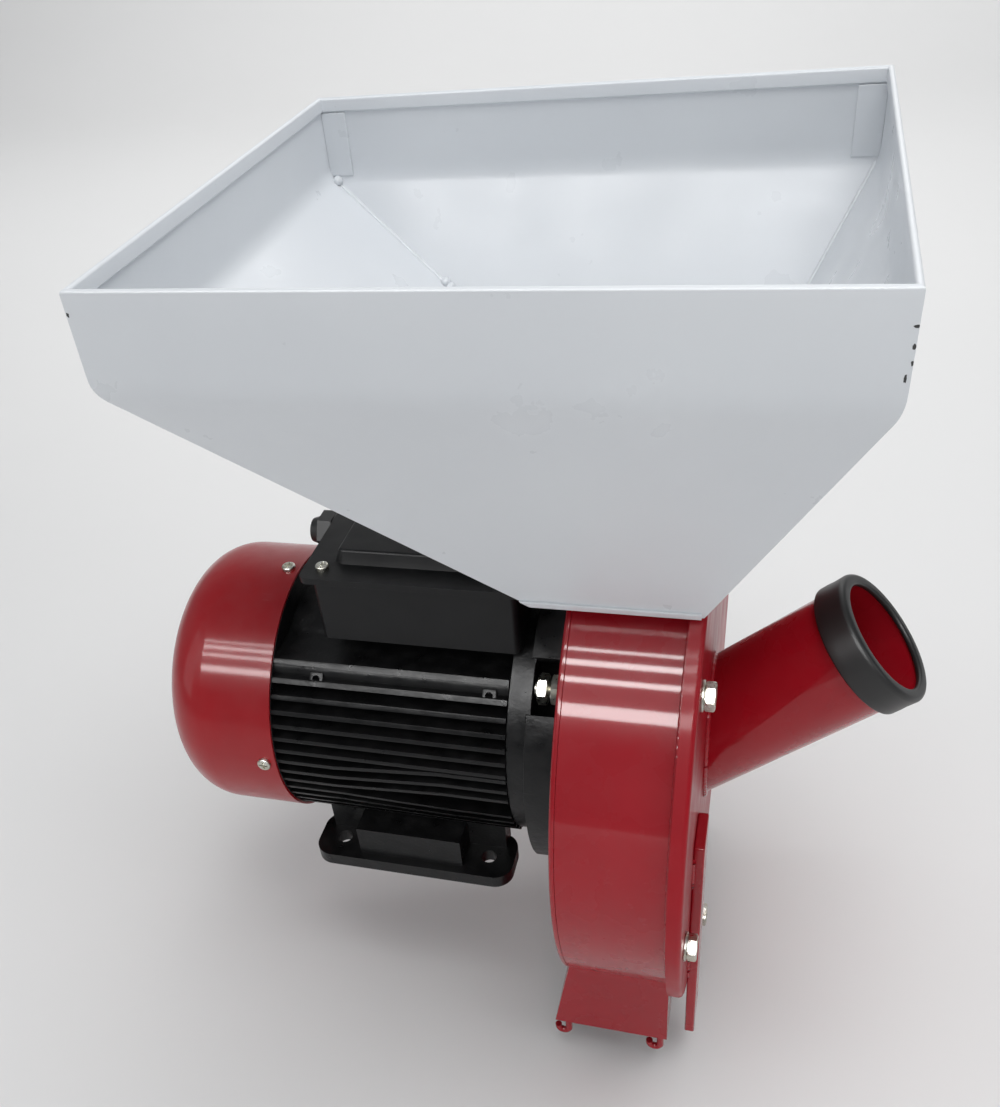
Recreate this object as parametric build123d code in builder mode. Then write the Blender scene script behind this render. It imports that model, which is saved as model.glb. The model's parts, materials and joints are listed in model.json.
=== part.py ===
from build123d import *
import os
from math import cos, radians, sin, sqrt

# Hammer mill for grain and maize cobs: foot-mounted motor, round milling drum
# flanged to it, sheet hopper above. Origin: centre of the four foot holes, on the
# underside of the feet. +X runs along the shaft towards the drum cover, +Z is up.
# Millimetres.

os.makedirs("parts", exist_ok=True)

# ---- driving dimensions: motor, frame size 90 ----
axis_height = 90.0
foot_pitch_x = 100.0
foot_pitch_y = 140.0
foot_hole_radius = 5.0
foot_pad = 30.0
foot_thickness = 9.0
foot_edge = 17.0
stator_wall = 9.0
housing_radius = 71.0
fin_height = 15.0
fin_thickness = 2.6
fin_pitch = 8.6
housing_rear_x = -76.0
housing_front_x = 71.0
boss_radius = 9.0
boss_step = 5.0
shield_wall = 8.0
bearing_outer_radius = 26.0
bearing_shoulder = 0.5
bearing_width = 15.0
bearing_x = 78.0
shaft_radius = 12.0
rotor_radius = 38.0
air_gap = 0.5
stack_length = 84.0
stack_centre_x = -4.0
cowl_step = 2.0
cowl_rear_x = -157.0
cowl_corner = 34.0
cowl_wall = 1.5
fan_gap = 16.0
flange_radius = 100.0
flange_circle = 82.5
flange_web = 8.0
stud_radius = 5.0

# ---- driving dimensions: terminal box ----
box_length = 121.0
box_depth = 100.0
box_centre_x = 16.0
box_rise = 4.0
box_height = 43.0
box_wall = 3.0
lid_overhang = 5.5
lid_plate = 4.0
lid_dome = 12.0

# ---- driving dimensions: drum ----
drum_back_x = 112.0
drum_radius = 164.0
drum_wall = 3.0
drum_length = 63.0
lip_step = 7.0
lip_depth = 8.0
cover_thickness = 3.0
cover_bolt_inset = 12.0
cover_bolt_count = 6
cover_bolt_start = 135.0
shaft_clearance = 4.0

# ---- driving dimensions: feed pipe, outlet, hopper ----
pipe_radius = 35.5
pipe_wall = 2.0
pipe_rise = 41.0
pipe_length = 116.0
pipe_y = -14.0
pipe_z = 93.0
ring_band = 15.0
ring_thickness = 3.5
chute_half_width = 115.0
chute_drop = 20.0
chute_wall = 2.0
chute_flare = 12.0
hopper_wall = 1.5
hopper_band_height = 45.0
hopper_funnel_height = 136.0
hopper_skirt_drop = 26.0
hopper_reach_rear = 170.0
hopper_reach_front = 67.0
hopper_half_depth = 150.0
throat_overhang_rear = 17.0
throat_overhang_front = 2.0
throat_half_depth = 96.0
neck_half_depth = 45.0
neck_rise = 8.0
gate_drop = 5.6
gate_thickness = 2.0
gate_travel = 88.0

# ---- driving dimensions: rotor ----
disc_radius = 92.0
disc_thickness = 4.0
pin_offset = 50.0
pin_radius = 6.0
hammer_length = 56.0
hammer_width = 24.0
hammer_thickness = 6.0
hub_radius = 24.0
screen_radius = 132.0
screen_wall = 1.5

# ---- shared clearances ----
running_fit = 0.05
loose_fit = 0.4
seat_gap = 0.3

# ---- derived places ----
bearing_inner_radius = shaft_radius + bearing_shoulder
fin_radius = housing_radius + fin_height
boss_circle = housing_radius + boss_step
cowl_radius = fin_radius + cowl_step
fan_radius = cowl_radius - fan_gap
box_base_z = axis_height + housing_radius + box_rise
stator_bore_radius = housing_radius - stator_wall
box_rim_z = box_base_z + box_height
lip_radius = drum_radius + lip_step
cover_bolt_circle = drum_radius - cover_bolt_inset
chute_bottom_z = axis_height - drum_radius - chute_drop
neck_top_z = axis_height + drum_radius + neck_rise
gate_z = neck_top_z - gate_drop
hopper_skirt_z = neck_top_z - hopper_skirt_drop
hopper_knee_z = hopper_skirt_z + hopper_funnel_height
hopper_rim_z = hopper_knee_z + hopper_band_height
cover_x = drum_back_x + drum_length + drum_wall + seat_gap
cover_face_x = cover_x + cover_thickness
drum_inner = drum_radius - drum_wall
chamber_x = drum_back_x + drum_wall
shell_end_x = drum_back_x + drum_length + drum_wall
throat_x = (drum_back_x - throat_overhang_rear, shell_end_x + throat_overhang_front)
hopper_x = (throat_x[0] - hopper_reach_rear, throat_x[1] + hopper_reach_front)
quarter_points = [(s * pin_offset, t * pin_offset) for s in (-1, 1) for t in (-1, 1)]


def station(x):
    """Plane across the shaft at x, its origin on the shaft's axis, local x along +Y and local y along +Z."""
    return Plane(origin=(x, 0, axis_height), x_dir=(0, 1, 0), z_dir=(1, 0, 0))


def finish(part, name):
    """Label a finished piece and write its STEP file."""
    part.label = name
    export_step(part, f"parts/{name}.step")


def ring_at(x, length, outer, inner):
    """A plain ring round the shaft axis."""
    with BuildPart() as piece:
        with BuildSketch(station(x)):
            Circle(outer)
            Circle(inner, mode=Mode.SUBTRACT)
        extrude(amount=length)
    return piece.part


def hex_bolt(plane, across_flats, head, shank_radius, shank):
    """A hex-head bolt: the head stands on the plane, the shank runs back behind it."""
    with BuildPart() as piece:
        with BuildSketch(plane):
            RegularPolygon(across_flats / 2, 6, major_radius=False)
        extrude(amount=head)
        with BuildSketch(plane):
            Circle(shank_radius)
        extrude(amount=-shank)
    return piece.part


def hex_nut(plane, across_flats, height, bore):
    """A hex nut standing on the plane."""
    with BuildPart() as piece:
        with BuildSketch(plane):
            RegularPolygon(across_flats / 2, 6, major_radius=False)
            Circle(bore, mode=Mode.SUBTRACT)
        extrude(amount=height)
    return piece.part


def polar_plane(x, radius, angle, outward=(1, 0, 0)):
    """Plane at x on a circle round the shaft axis; the angle is measured from +Y towards +Z."""
    y = radius * cos(radians(angle))
    z = axis_height + radius * sin(radians(angle))
    return Plane(origin=(x, y, z), x_dir=(0, 1, 0), z_dir=outward)


def group(parts, name):
    """Several equal pieces kept as separate solids in one file."""
    finish(Compound(children=list(parts)), name)


# ======================= motor =======================
housing_length = housing_front_x - housing_rear_x
fin_rows = int((housing_radius - fin_pitch) / fin_pitch)
foot_span_y = foot_pitch_y + 2 * foot_edge
foot_inner_y = foot_span_y / 2 - 2 * foot_edge - 4

with BuildPart() as motor_housing:
    # horizontal cooling fins, bent upwards over the middle of the body
    for row in range(-fin_rows, fin_rows + 1):
        z = axis_height + row * fin_pitch
        lift = 5.0 if row in (-2, -1, 0) else (-4.0 if row < -2 and row > -7 else 0.0)
        with BuildSketch(Plane(origin=(0, -fin_radius, z), x_dir=(1, 0, 0), z_dir=(0, 1, 0))):
            with BuildLine():
                x0, x1 = housing_rear_x, housing_front_x
                xa, xb = x0 + 0.25 * housing_length, x0 + 0.72 * housing_length
                low = [(x0, 0), (xa, 0), (xb, -lift), (x1, -lift)]
                high = [(x, y - fin_thickness) for x, y in reversed(low)]
                Polyline(*low, *high, close=True)
            make_face()
        extrude(amount=2 * fin_radius)
    with BuildSketch(station(housing_rear_x)):
        Circle(fin_radius)
    extrude(amount=housing_length, mode=Mode.INTERSECT)
    with BuildSketch(station(housing_rear_x)):
        Circle(housing_radius)
        with PolarLocations(boss_circle, 4, 45):
            Circle(boss_radius)
    extrude(amount=housing_length)
    # pad under the terminal box
    with BuildSketch(Plane.XY.offset(axis_height + housing_radius - 12)):
        with Locations((box_centre_x, 0)):
            Rectangle(box_length - 22, 64)
    extrude(amount=box_base_z - (axis_height + housing_radius - 12))
    # feet: two long rails with bolt pads, joined to the body by upright webs
    for side in (-1, 1):
        with BuildSketch(Plane.XY):
            with Locations((0, side * (foot_span_y / 2 - foot_edge - 2))):
                RectangleRounded(foot_pitch_x + 2 * foot_edge, 2 * foot_edge + 4, 12)
        extrude(amount=foot_thickness)
        with BuildSketch(Plane.XY.offset(foot_thickness)):
            with Locations((0, side * (foot_pitch_y / 2 - 15))):
                Rectangle(foot_pitch_x + 2 * foot_edge - 14, 12)
        extrude(amount=axis_height - foot_thickness - 30)
        with BuildSketch(Plane.XY.offset(foot_thickness)):
            with Locations((0, side * (foot_pitch_y / 2 - 2))):
                Rectangle(foot_pitch_x - foot_pad, 26)
        extrude(amount=22)
    with BuildSketch(station(housing_rear_x)):
        Circle(stator_bore_radius + 4)
    extrude(amount=housing_length, mode=Mode.SUBTRACT)
    with BuildSketch(Plane.XY):
        with GridLocations(foot_pitch_x, foot_pitch_y, 2, 2):
            Circle(foot_hole_radius)
    extrude(amount=foot_thickness, mode=Mode.SUBTRACT)
    # through bores for the shield bolts
    with BuildSketch(station(housing_rear_x)):
        with PolarLocations(boss_circle, 4, 45):
            Circle(3.2)
    extrude(amount=housing_length, mode=Mode.SUBTRACT)
finish(motor_housing.part, "motor_housing")


# end shields
with BuildPart() as front_end_shield:
    with BuildSketch(station(housing_front_x)):
        Circle(fin_radius - 2)
    extrude(amount=14)
    with BuildSketch(station(housing_front_x + 14)):
        Circle(flange_radius)
    extrude(amount=drum_back_x - housing_front_x - 14)
    # pockets that leave the flange web bare round each stud
    with BuildSketch(station(housing_front_x + 14)):
        with PolarLocations(flange_circle + 10, 4, 45):
            SlotOverall(60, 32)
    extrude(amount=drum_back_x - flange_web - housing_front_x - 14, mode=Mode.SUBTRACT)
    with BuildSketch(station(housing_front_x)):
        Circle(shaft_radius + 1.0)
    extrude(amount=drum_back_x - housing_front_x, mode=Mode.SUBTRACT)
    with BuildSketch(station(drum_back_x)):
        with PolarLocations(flange_circle, 4, 45):
            Circle(stud_radius + 0.5)
    extrude(amount=-(flange_web + 4), mode=Mode.SUBTRACT)
    # bearing seat and the hollow behind it
    with BuildSketch(station(bearing_x)):
        Circle(bearing_outer_radius)
    extrude(amount=bearing_width, mode=Mode.SUBTRACT)
    with BuildSketch(station(housing_front_x)):
        Circle(stator_bore_radius - 16)
    extrude(amount=bearing_x - housing_front_x, mode=Mode.SUBTRACT)
    with BuildSketch(station(housing_front_x)):
        with PolarLocations(boss_circle, 4, 45):
            Circle(3.0)
    extrude(amount=10.5, mode=Mode.SUBTRACT)
    # flat on top that clears the terminal box
    with BuildSketch(Plane.XY.offset(box_base_z - seat_gap)):
        with Locations((housing_front_x + 5, 0)):
            Rectangle(10, box_depth + 4)
    extrude(amount=20, mode=Mode.SUBTRACT)
finish(front_end_shield.part, "front_end_shield")

shield_depth = 15.0
rear_shield_x = housing_rear_x - shield_depth
with BuildPart() as rear_end_shield:
    with BuildSketch(station(rear_shield_x)):
        Circle(cowl_radius - cowl_wall - seat_gap)
    extrude(amount=shield_depth)
    with BuildSketch(station(rear_shield_x)):
        Circle(bearing_outer_radius)
    extrude(amount=shield_depth, mode=Mode.SUBTRACT)
    with BuildSketch(station(rear_shield_x)):
        Circle(bearing_outer_radius + 6)
        Circle(shaft_radius + 1.0, mode=Mode.SUBTRACT)
    extrude(amount=-4)
    with BuildSketch(station(rear_shield_x)):
        with PolarLocations(boss_circle, 4, 45):
            Circle(3.2)
    extrude(amount=shield_depth, mode=Mode.SUBTRACT)
finish(rear_end_shield.part, "rear_end_shield")

# the four long bolts that clamp both end shields on the housing, threaded into the front one
shield_thread_x = housing_front_x + 10
shield_bolt_length = shield_thread_x - rear_shield_x
shield_bolts = [
    hex_bolt(polar_plane(rear_shield_x, boss_circle, 45 + 90 * k, (-1, 0, 0)), 10, 4.5, 3.0, shield_bolt_length)
    for k in range(4)
]
group(shield_bolts, "shield_bolts")

# fan cowl: a deep drawn cup with rings of slots in its end
cowl_length = housing_rear_x - cowl_rear_x
with BuildPart() as fan_cowl:
    with BuildSketch(station(cowl_rear_x)):
        Circle(cowl_radius)
    extrude(amount=cowl_length - seat_gap)
    rear_edge = fan_cowl.edges().group_by(Axis.X)[0]
    fillet(rear_edge, cowl_corner)
    front_face = fan_cowl.faces().sort_by(Axis.X)[-1]
    offset(amount=-cowl_wall, openings=front_face)
    with BuildSketch(station(cowl_rear_x)):
        Circle(6)
        for slot_radius, slot_count in ((20, 6), (33, 10), (45, 14)):
            with PolarLocations(slot_radius, slot_count):
                SlotOverall(9, 5)
    extrude(amount=6, mode=Mode.SUBTRACT)
    for k in range(4):
        angle = 90 * k
        radial = (0, cos(radians(angle)), sin(radians(angle)))
        with BuildSketch(Plane(origin=(rear_shield_x + 7, 0, axis_height), z_dir=radial)):
            Circle(2.2)
        extrude(amount=cowl_radius + 2, mode=Mode.SUBTRACT)
finish(fan_cowl.part, "fan_cowl")

cowl_screws = []
for k in range(4):
    angle = 90 * k
    radial = (0, cos(radians(angle)), sin(radians(angle)))
    seat = Plane(origin=(rear_shield_x + 7, 0, axis_height), z_dir=radial).offset(cowl_radius + 0.1)
    with BuildPart() as screw:
        with BuildSketch(seat):
            Circle(4.4)
        extrude(amount=2.2)
        fillet(screw.edges().sort_by(Axis(seat.origin, seat.z_dir))[-1], 1.2)
        with BuildSketch(seat.offset(2.3)):
            Rectangle(5.6, 1.1)
            Rectangle(1.1, 5.6)
        extrude(amount=-1.2, mode=Mode.SUBTRACT)
        with BuildSketch(seat):
            Circle(2.0)
        extrude(amount=-(cowl_wall + 0.35))
    cowl_screws.append(screw.part)
group(cowl_screws, "cowl_screws")

# stator and rotor of the motor
stack_x = stack_centre_x - stack_length / 2
finish(ring_at(stack_x, stack_length, stator_bore_radius + 4, rotor_radius + air_gap), "stator_core")
windings = [
    ring_at(stack_x - 20, 20, stator_bore_radius - 3, rotor_radius + 5),
    ring_at(stack_x + stack_length, 20, stator_bore_radius - 3, rotor_radius + 5),
]
group(windings, "stator_windings")
finish(ring_at(stack_x, stack_length, rotor_radius, shaft_radius + 2), "rotor_core")

bearing_rear_x = rear_shield_x
bearing_places = (bearing_x, bearing_rear_x)
group([ring_at(x, bearing_width, bearing_outer_radius, bearing_outer_radius - 4) for x in bearing_places],
      "bearing_outer_rings")
group([ring_at(x, bearing_width, bearing_inner_radius + 3.5, bearing_inner_radius) for x in bearing_places],
      "bearing_inner_rings")
ball_radius = (bearing_outer_radius - 4 - bearing_inner_radius - 3.5) / 2 - 0.1
ball_circle = (bearing_outer_radius - 4 + bearing_inner_radius + 3.5) / 2
balls = []
for x in bearing_places:
    for k in range(9):
        with BuildPart(polar_plane(x + bearing_width / 2, ball_circle, 40 * k)) as ball:
            Sphere(ball_radius)
        balls.append(ball.part)
group(balls, "bearing_balls")

# shaft: bearing journals, core seat, and the long end that reaches into the drum
shaft_rear_x = cowl_rear_x + 22
hub_end_x = chamber_x + 48
with BuildPart() as motor_shaft:
    with BuildSketch(station(shaft_rear_x)):
        Circle(shaft_radius - 2)
    extrude(amount=rear_shield_x - 4.2 - shaft_rear_x)
    with BuildSketch(station(rear_shield_x - 4.2)):
        Circle(shaft_radius)
    extrude(amount=4.2)
    with BuildSketch(station(rear_shield_x)):
        Circle(bearing_inner_radius)
    extrude(amount=bearing_x + bearing_width - rear_shield_x)
    with BuildSketch(station(stack_x - 18)):
        Circle(shaft_radius + 2)
    extrude(amount=stack_length + 36)
    with BuildSketch(station(bearing_x + bearing_width)):
        Circle(shaft_radius)
    extrude(amount=hub_end_x - bearing_x - bearing_width)
    with BuildSketch(station(chamber_x + 6)):
        with Locations((0, shaft_radius - 1)):
            Rectangle(6, 5)
    extrude(amount=32, mode=Mode.SUBTRACT)
    with BuildSketch(station(hub_end_x)):
        Circle(4)
    extrude(amount=-22, mode=Mode.SUBTRACT)
    chamfer(motor_shaft.edges().group_by(Axis.X)[-1].sort_by(Edge.length)[-1], 1.0)
finish(motor_shaft.part, "motor_shaft")

with BuildPart() as cooling_fan:
    with BuildSketch(station(shaft_rear_x + 2)):
        Circle(20)
        Circle(shaft_radius - 2, mode=Mode.SUBTRACT)
    extrude(amount=rear_shield_x - 8 - shaft_rear_x - 2)
    with BuildSketch(station(rear_shield_x - 12)):
        Circle(fan_radius)
        Circle(18, mode=Mode.SUBTRACT)
    extrude(amount=3)
    for k in range(7):
        angle = 360 / 7 * k
        radial = (0, cos(radians(angle)), sin(radians(angle)))
        blade_plane = Plane(origin=(shaft_rear_x + 4, 0, axis_height), x_dir=(1, 0, 0), z_dir=radial)
        with BuildSketch(blade_plane.offset(18)):
            with Locations(((rear_shield_x - 12 - shaft_rear_x - 4) / 2, 0)):
                Rectangle(rear_shield_x - 12 - shaft_rear_x - 4 + 1, 3)
        extrude(amount=fan_radius - 20)
finish(cooling_fan.part, "cooling_fan")

# flange studs, each with a lock nut on the motor side and a cap nut inside the drum
stud_front_x = chamber_x + 8
stud_rear_x = drum_back_x - flange_web - 17.5
studs = []
stud_nuts = []
for k in range(4):
    plane = polar_plane(stud_rear_x, flange_circle, 45 + 90 * k)
    with BuildPart() as stud:
        with BuildSketch(plane):
            Circle(stud_radius)
        extrude(amount=stud_front_x - stud_rear_x)
    studs.append(stud.part)
    turn = 45 + 90 * k
    flange_rear_x = drum_back_x - flange_web
    stud_nuts.append(hex_nut(polar_plane(flange_rear_x - 8, flange_circle, turn), 17, 8, stud_radius))
    stud_nuts.append(hex_nut(polar_plane(flange_rear_x - 16, flange_circle, turn), 16, 6, stud_radius))
    stud_nuts.append(hex_nut(polar_plane(chamber_x, flange_circle, turn), 17, 6, stud_radius))
group(studs, "flange_studs")
group(stud_nuts, "flange_nuts")

# ======================= terminal box =======================
with BuildPart() as terminal_box:
    with BuildSketch(Plane.XY.offset(box_base_z)):
        with Locations((box_centre_x, 0)):
            RectangleRounded(box_length, box_depth, 4)
    extrude(amount=box_rim_z - box_base_z)
    with BuildSketch(Plane.XY.offset(box_base_z + box_wall)):
        with Locations((box_centre_x, 0)):
            RectangleRounded(box_length - 2 * box_wall, box_depth - 2 * box_wall, 2)
    extrude(amount=box_rim_z - box_base_z - box_wall, mode=Mode.SUBTRACT)
    with BuildSketch(Plane.XY.offset(box_base_z + box_wall)):
        with Locations((box_centre_x, 0)):
            with GridLocations(box_length - 12, box_depth - 12, 2, 2):
                Circle(5)
    extrude(amount=box_rim_z - box_base_z - box_wall - 0.2)
    with BuildSketch(Plane.XY.offset(box_rim_z)):
        with Locations((box_centre_x, 0)):
            with GridLocations(box_length - 12, box_depth - 12, 2, 2):
                Circle(1.8)
    extrude(amount=-14, mode=Mode.SUBTRACT)
    # cable entry in the rear wall
    entry_start = (box_centre_x - box_length / 2 - 2, 20, box_base_z + 30)
    with BuildSketch(Plane(origin=entry_start, x_dir=(0, 1, 0), z_dir=(1, 0, 0))):
        Circle(9)
    extrude(amount=8, mode=Mode.SUBTRACT)
finish(terminal_box.part, "terminal_box")

with BuildPart() as terminal_box_lid:
    with BuildSketch(Plane.XY.offset(box_rim_z)):
        with Locations((box_centre_x, 0)):
            RectangleRounded(box_length + 2 * lid_overhang, box_depth + 2 * lid_overhang, 5)
    extrude(amount=lid_plate)
    with BuildSketch(Plane.XY.offset(box_rim_z + lid_plate)):
        with Locations((box_centre_x, 0)):
            RectangleRounded(box_length - 22, box_depth - 22, 6)
    extrude(amount=lid_dome - lid_plate, taper=20)
    fillet(terminal_box_lid.edges().group_by(Axis.Z)[-1], 2.0)
    with BuildSketch(Plane.XY.offset(box_rim_z)):
        with Locations((box_centre_x, 0)):
            RectangleRounded(box_length - 30, box_depth - 30, 4)
    extrude(amount=lid_dome - 3, mode=Mode.SUBTRACT)
    with BuildSketch(Plane.XY.offset(box_rim_z)):
        with Locations((box_centre_x, 0)):
            with GridLocations(box_length - 12, box_depth - 12, 2, 2):
                Circle(2.2)
    extrude(amount=lid_plate, mode=Mode.SUBTRACT)
finish(terminal_box_lid.part, "terminal_box_lid")

lid_screws = []
for place in GridLocations(box_length - 12, box_depth - 12, 2, 2):
    x = place.position.X + box_centre_x
    y = place.position.Y
    with BuildPart() as screw:
        with BuildSketch(Plane(origin=(x, y, box_rim_z + lid_plate))):
            Circle(4)
        extrude(amount=2.6)
        fillet(screw.edges().group_by(Axis.Z)[-1], 1.2)
        with BuildSketch(Plane(origin=(x, y, box_rim_z + lid_plate + 2.6))):
            Rectangle(5, 1)
            Rectangle(1, 5)
        extrude(amount=-1.2, mode=Mode.SUBTRACT)
        with BuildSketch(Plane(origin=(x, y, box_rim_z + lid_plate))):
            Circle(1.7)
        extrude(amount=-15)
    lid_screws.append(screw.part)
group(lid_screws, "lid_screws")

gland_start = (box_centre_x - box_length / 2 - 0.6, 20, box_base_z + 30)
gland_plane = Plane(origin=gland_start, x_dir=(0, 1, 0), z_dir=(-1, 0, 0))
with BuildPart() as cable_gland:
    with BuildSketch(gland_plane.offset(0.4)):
        RegularPolygon(12.5, 6, major_radius=False)
        Circle(5, mode=Mode.SUBTRACT)
    extrude(amount=6)
    with BuildSketch(gland_plane.offset(6.4)):
        Circle(11)
        Circle(5, mode=Mode.SUBTRACT)
    extrude(amount=4)
    with BuildSketch(gland_plane.offset(10.4)):
        RegularPolygon(11, 6, major_radius=False)
        Circle(5, mode=Mode.SUBTRACT)
    extrude(amount=9)
    with BuildSketch(gland_plane.offset(19.4)):
        Circle(9.5)
        Circle(5, mode=Mode.SUBTRACT)
    extrude(amount=6, taper=18)
    with BuildSketch(gland_plane.offset(0.4)):
        Circle(8.7)
        Circle(5, mode=Mode.SUBTRACT)
    extrude(amount=-10)
finish(cable_gland.part, "cable_gland")

with BuildPart() as run_capacitor:
    capacitor_start = (box_centre_x - 44, -16, box_base_z + 22)
    with BuildSketch(Plane(origin=capacitor_start, x_dir=(0, 1, 0), z_dir=(1, 0, 0))):
        Circle(18.7)
    extrude(amount=88)
    fillet(run_capacitor.edges().filter_by(GeomType.CIRCLE), 2.0)
finish(run_capacitor.part, "run_capacitor")

with BuildPart() as terminal_block:
    with BuildSketch(Plane.XY.offset(box_base_z + box_wall)):
        with Locations((box_centre_x + 8, 26)):
            RectangleRounded(60, 26, 3)
    extrude(amount=10)
    with BuildSketch(Plane.XY.offset(box_base_z + box_wall + 10)):
        with Locations((box_centre_x + 8, 26)):
            with GridLocations(18, 12, 3, 2):
                Circle(2.5)
    extrude(amount=9)
finish(terminal_block.part, "terminal_block")

# ======================= milling drum =======================
with BuildPart() as drum_back_plate:
    with BuildSketch(station(drum_back_x)):
        Circle(drum_radius)
    extrude(amount=drum_wall)
    fillet(drum_back_plate.edges().group_by(Axis.X)[0], 2.0)
    with BuildSketch(station(drum_back_x)):
        Circle(shaft_radius + shaft_clearance)
        with PolarLocations(flange_circle, 4, 45):
            Circle(stud_radius + 0.5)
    extrude(amount=drum_wall, mode=Mode.SUBTRACT)
finish(drum_back_plate.part, "drum_back_plate")

ring_depth = 5.0
ring_x = shell_end_x - ring_depth
neck_x = (chamber_x + 2, ring_x - 1)
neck_centre_x = (neck_x[0] + neck_x[1]) / 2
neck_length = neck_x[1] - neck_x[0]
neck_wall = 2.0
chute_inner = chute_half_width - chute_wall
outlet_length = shell_end_x - chamber_x - 18
with BuildPart() as drum_shell:
    with BuildSketch(station(chamber_x)):
        Circle(drum_radius)
        Circle(drum_inner, mode=Mode.SUBTRACT)
    extrude(amount=shell_end_x - chamber_x)
    # grain inlet on top, open bottom over the outlet chute
    with BuildSketch(Plane.XY.offset(axis_height)):
        with Locations((neck_centre_x, 0)):
            Rectangle(neck_length - 2 * neck_wall, 2 * (neck_half_depth - neck_wall))
    extrude(amount=drum_radius + 10, mode=Mode.SUBTRACT)
    with BuildSketch(Plane.XY.offset(axis_height)):
        with Locations((chamber_x + 2 + outlet_length / 2, 0)):
            Rectangle(outlet_length, 2 * (chute_inner - 4))
    extrude(amount=-(drum_radius + 10), mode=Mode.SUBTRACT)
finish(drum_shell.part, "drum_shell")

# outward ring on the shell's open end; the cover's lip closes round it
finish(ring_at(ring_x, ring_depth, lip_radius - cover_thickness - seat_gap, drum_radius), "drum_rim_ring")

pipe_direction = (cos(radians(pipe_rise)), 0, sin(radians(pipe_rise)))
pipe_origin = (cover_face_x, pipe_y, pipe_z)
pipe_plane = Plane(origin=pipe_origin, x_dir=(0, 1, 0), z_dir=pipe_direction)
with BuildPart() as drum_cover:
    with BuildSketch(station(cover_face_x - lip_depth)):
        Circle(lip_radius)
    extrude(amount=lip_depth)
    fillet(drum_cover.edges().group_by(Axis.X)[-1], 2.5)
    with BuildSketch(station(cover_face_x - lip_depth)):
        Circle(lip_radius - cover_thickness)
    extrude(amount=lip_depth - cover_thickness, mode=Mode.SUBTRACT)
    with BuildSketch(station(cover_x)):
        with PolarLocations(cover_bolt_circle, cover_bolt_count, cover_bolt_start):
            Circle(4.5)
    extrude(amount=cover_thickness, mode=Mode.SUBTRACT)
    with BuildSketch(pipe_plane.offset(-40)):
        Circle(pipe_radius - pipe_wall)
    extrude(amount=80, mode=Mode.SUBTRACT)
finish(drum_cover.part, "drum_cover")

# welded threaded lugs inside the shell, and the bolts that hold the cover on them
lug_width = 18.0
lugs = []
cover_bolts = []
cover_washers = []
for k in range(cover_bolt_count):
    angle = cover_bolt_start + 360 / cover_bolt_count * k
    spot = polar_plane(cover_x - seat_gap, cover_bolt_circle, angle)
    with BuildPart() as lug:
        with BuildSketch(station(cover_x - seat_gap - 14)):
            Circle(drum_inner)
            Circle(cover_bolt_circle - 9, mode=Mode.SUBTRACT)
        extrude(amount=14)
        radial = (0, cos(radians(angle)), sin(radians(angle)))
        with BuildSketch(Plane(origin=(cover_x, 0, axis_height), x_dir=(1, 0, 0), z_dir=radial)):
            Rectangle(80, lug_width)
        extrude(amount=drum_radius, mode=Mode.INTERSECT)
        with BuildSketch(spot):
            Circle(4.0)
        extrude(amount=-14, mode=Mode.SUBTRACT)
    lugs.append(lug.part)
    face = polar_plane(cover_face_x, cover_bolt_circle, angle)
    with BuildPart() as washer:
        with BuildSketch(face):
            Circle(8)
            Circle(4.2, mode=Mode.SUBTRACT)
        extrude(amount=1.5)
    cover_washers.append(washer.part)
    cover_bolts.append(hex_bolt(face.offset(1.5), 13, 5.5, 4.0, 16))
group(lugs, "cover_lugs")
group(cover_washers, "cover_washers")
group(cover_bolts, "cover_bolts")

with BuildPart() as feed_pipe:
    with BuildSketch(pipe_plane.offset(-60)):
        Circle(pipe_radius)
        Circle(pipe_radius - pipe_wall, mode=Mode.SUBTRACT)
    extrude(amount=60 + pipe_length)
    with BuildSketch(station(cover_face_x)):
        Circle(drum_radius)
    extrude(amount=-200, mode=Mode.SUBTRACT)
finish(feed_pipe.part, "feed_pipe")

with BuildPart() as pipe_end_ring:
    with BuildSketch(pipe_plane.offset(pipe_length - ring_band)):
        Circle(pipe_radius + ring_thickness)
        Circle(pipe_radius + 0.1, mode=Mode.SUBTRACT)
    extrude(amount=ring_band)
    with BuildSketch(pipe_plane.offset(pipe_length)):
        Circle(pipe_radius + ring_thickness)
        Circle(pipe_radius - 3.5, mode=Mode.SUBTRACT)
    extrude(amount=3.5)
    fillet(pipe_end_ring.edges().sort_by(Axis(pipe_origin, pipe_direction))[-2:], 1.6)
finish(pipe_end_ring.part, "pipe_end_ring")

# upright flat bar welded on the cover, reaching down to the level of the outlet's mouth
bar_width = 28.0
bar_thickness = 6.0
bar_y = -92.0
bar_top_z = 84.0
bar_middle = (cover_face_x, bar_y, (bar_top_z + chute_bottom_z) / 2)
with BuildPart() as cover_bar:
    with BuildSketch(Plane(origin=bar_middle, x_dir=(0, 1, 0), z_dir=(1, 0, 0))):
        Rectangle(bar_width, bar_top_z - chute_bottom_z)
    extrude(amount=bar_thickness)
finish(cover_bar.part, "cover_bar")

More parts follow.
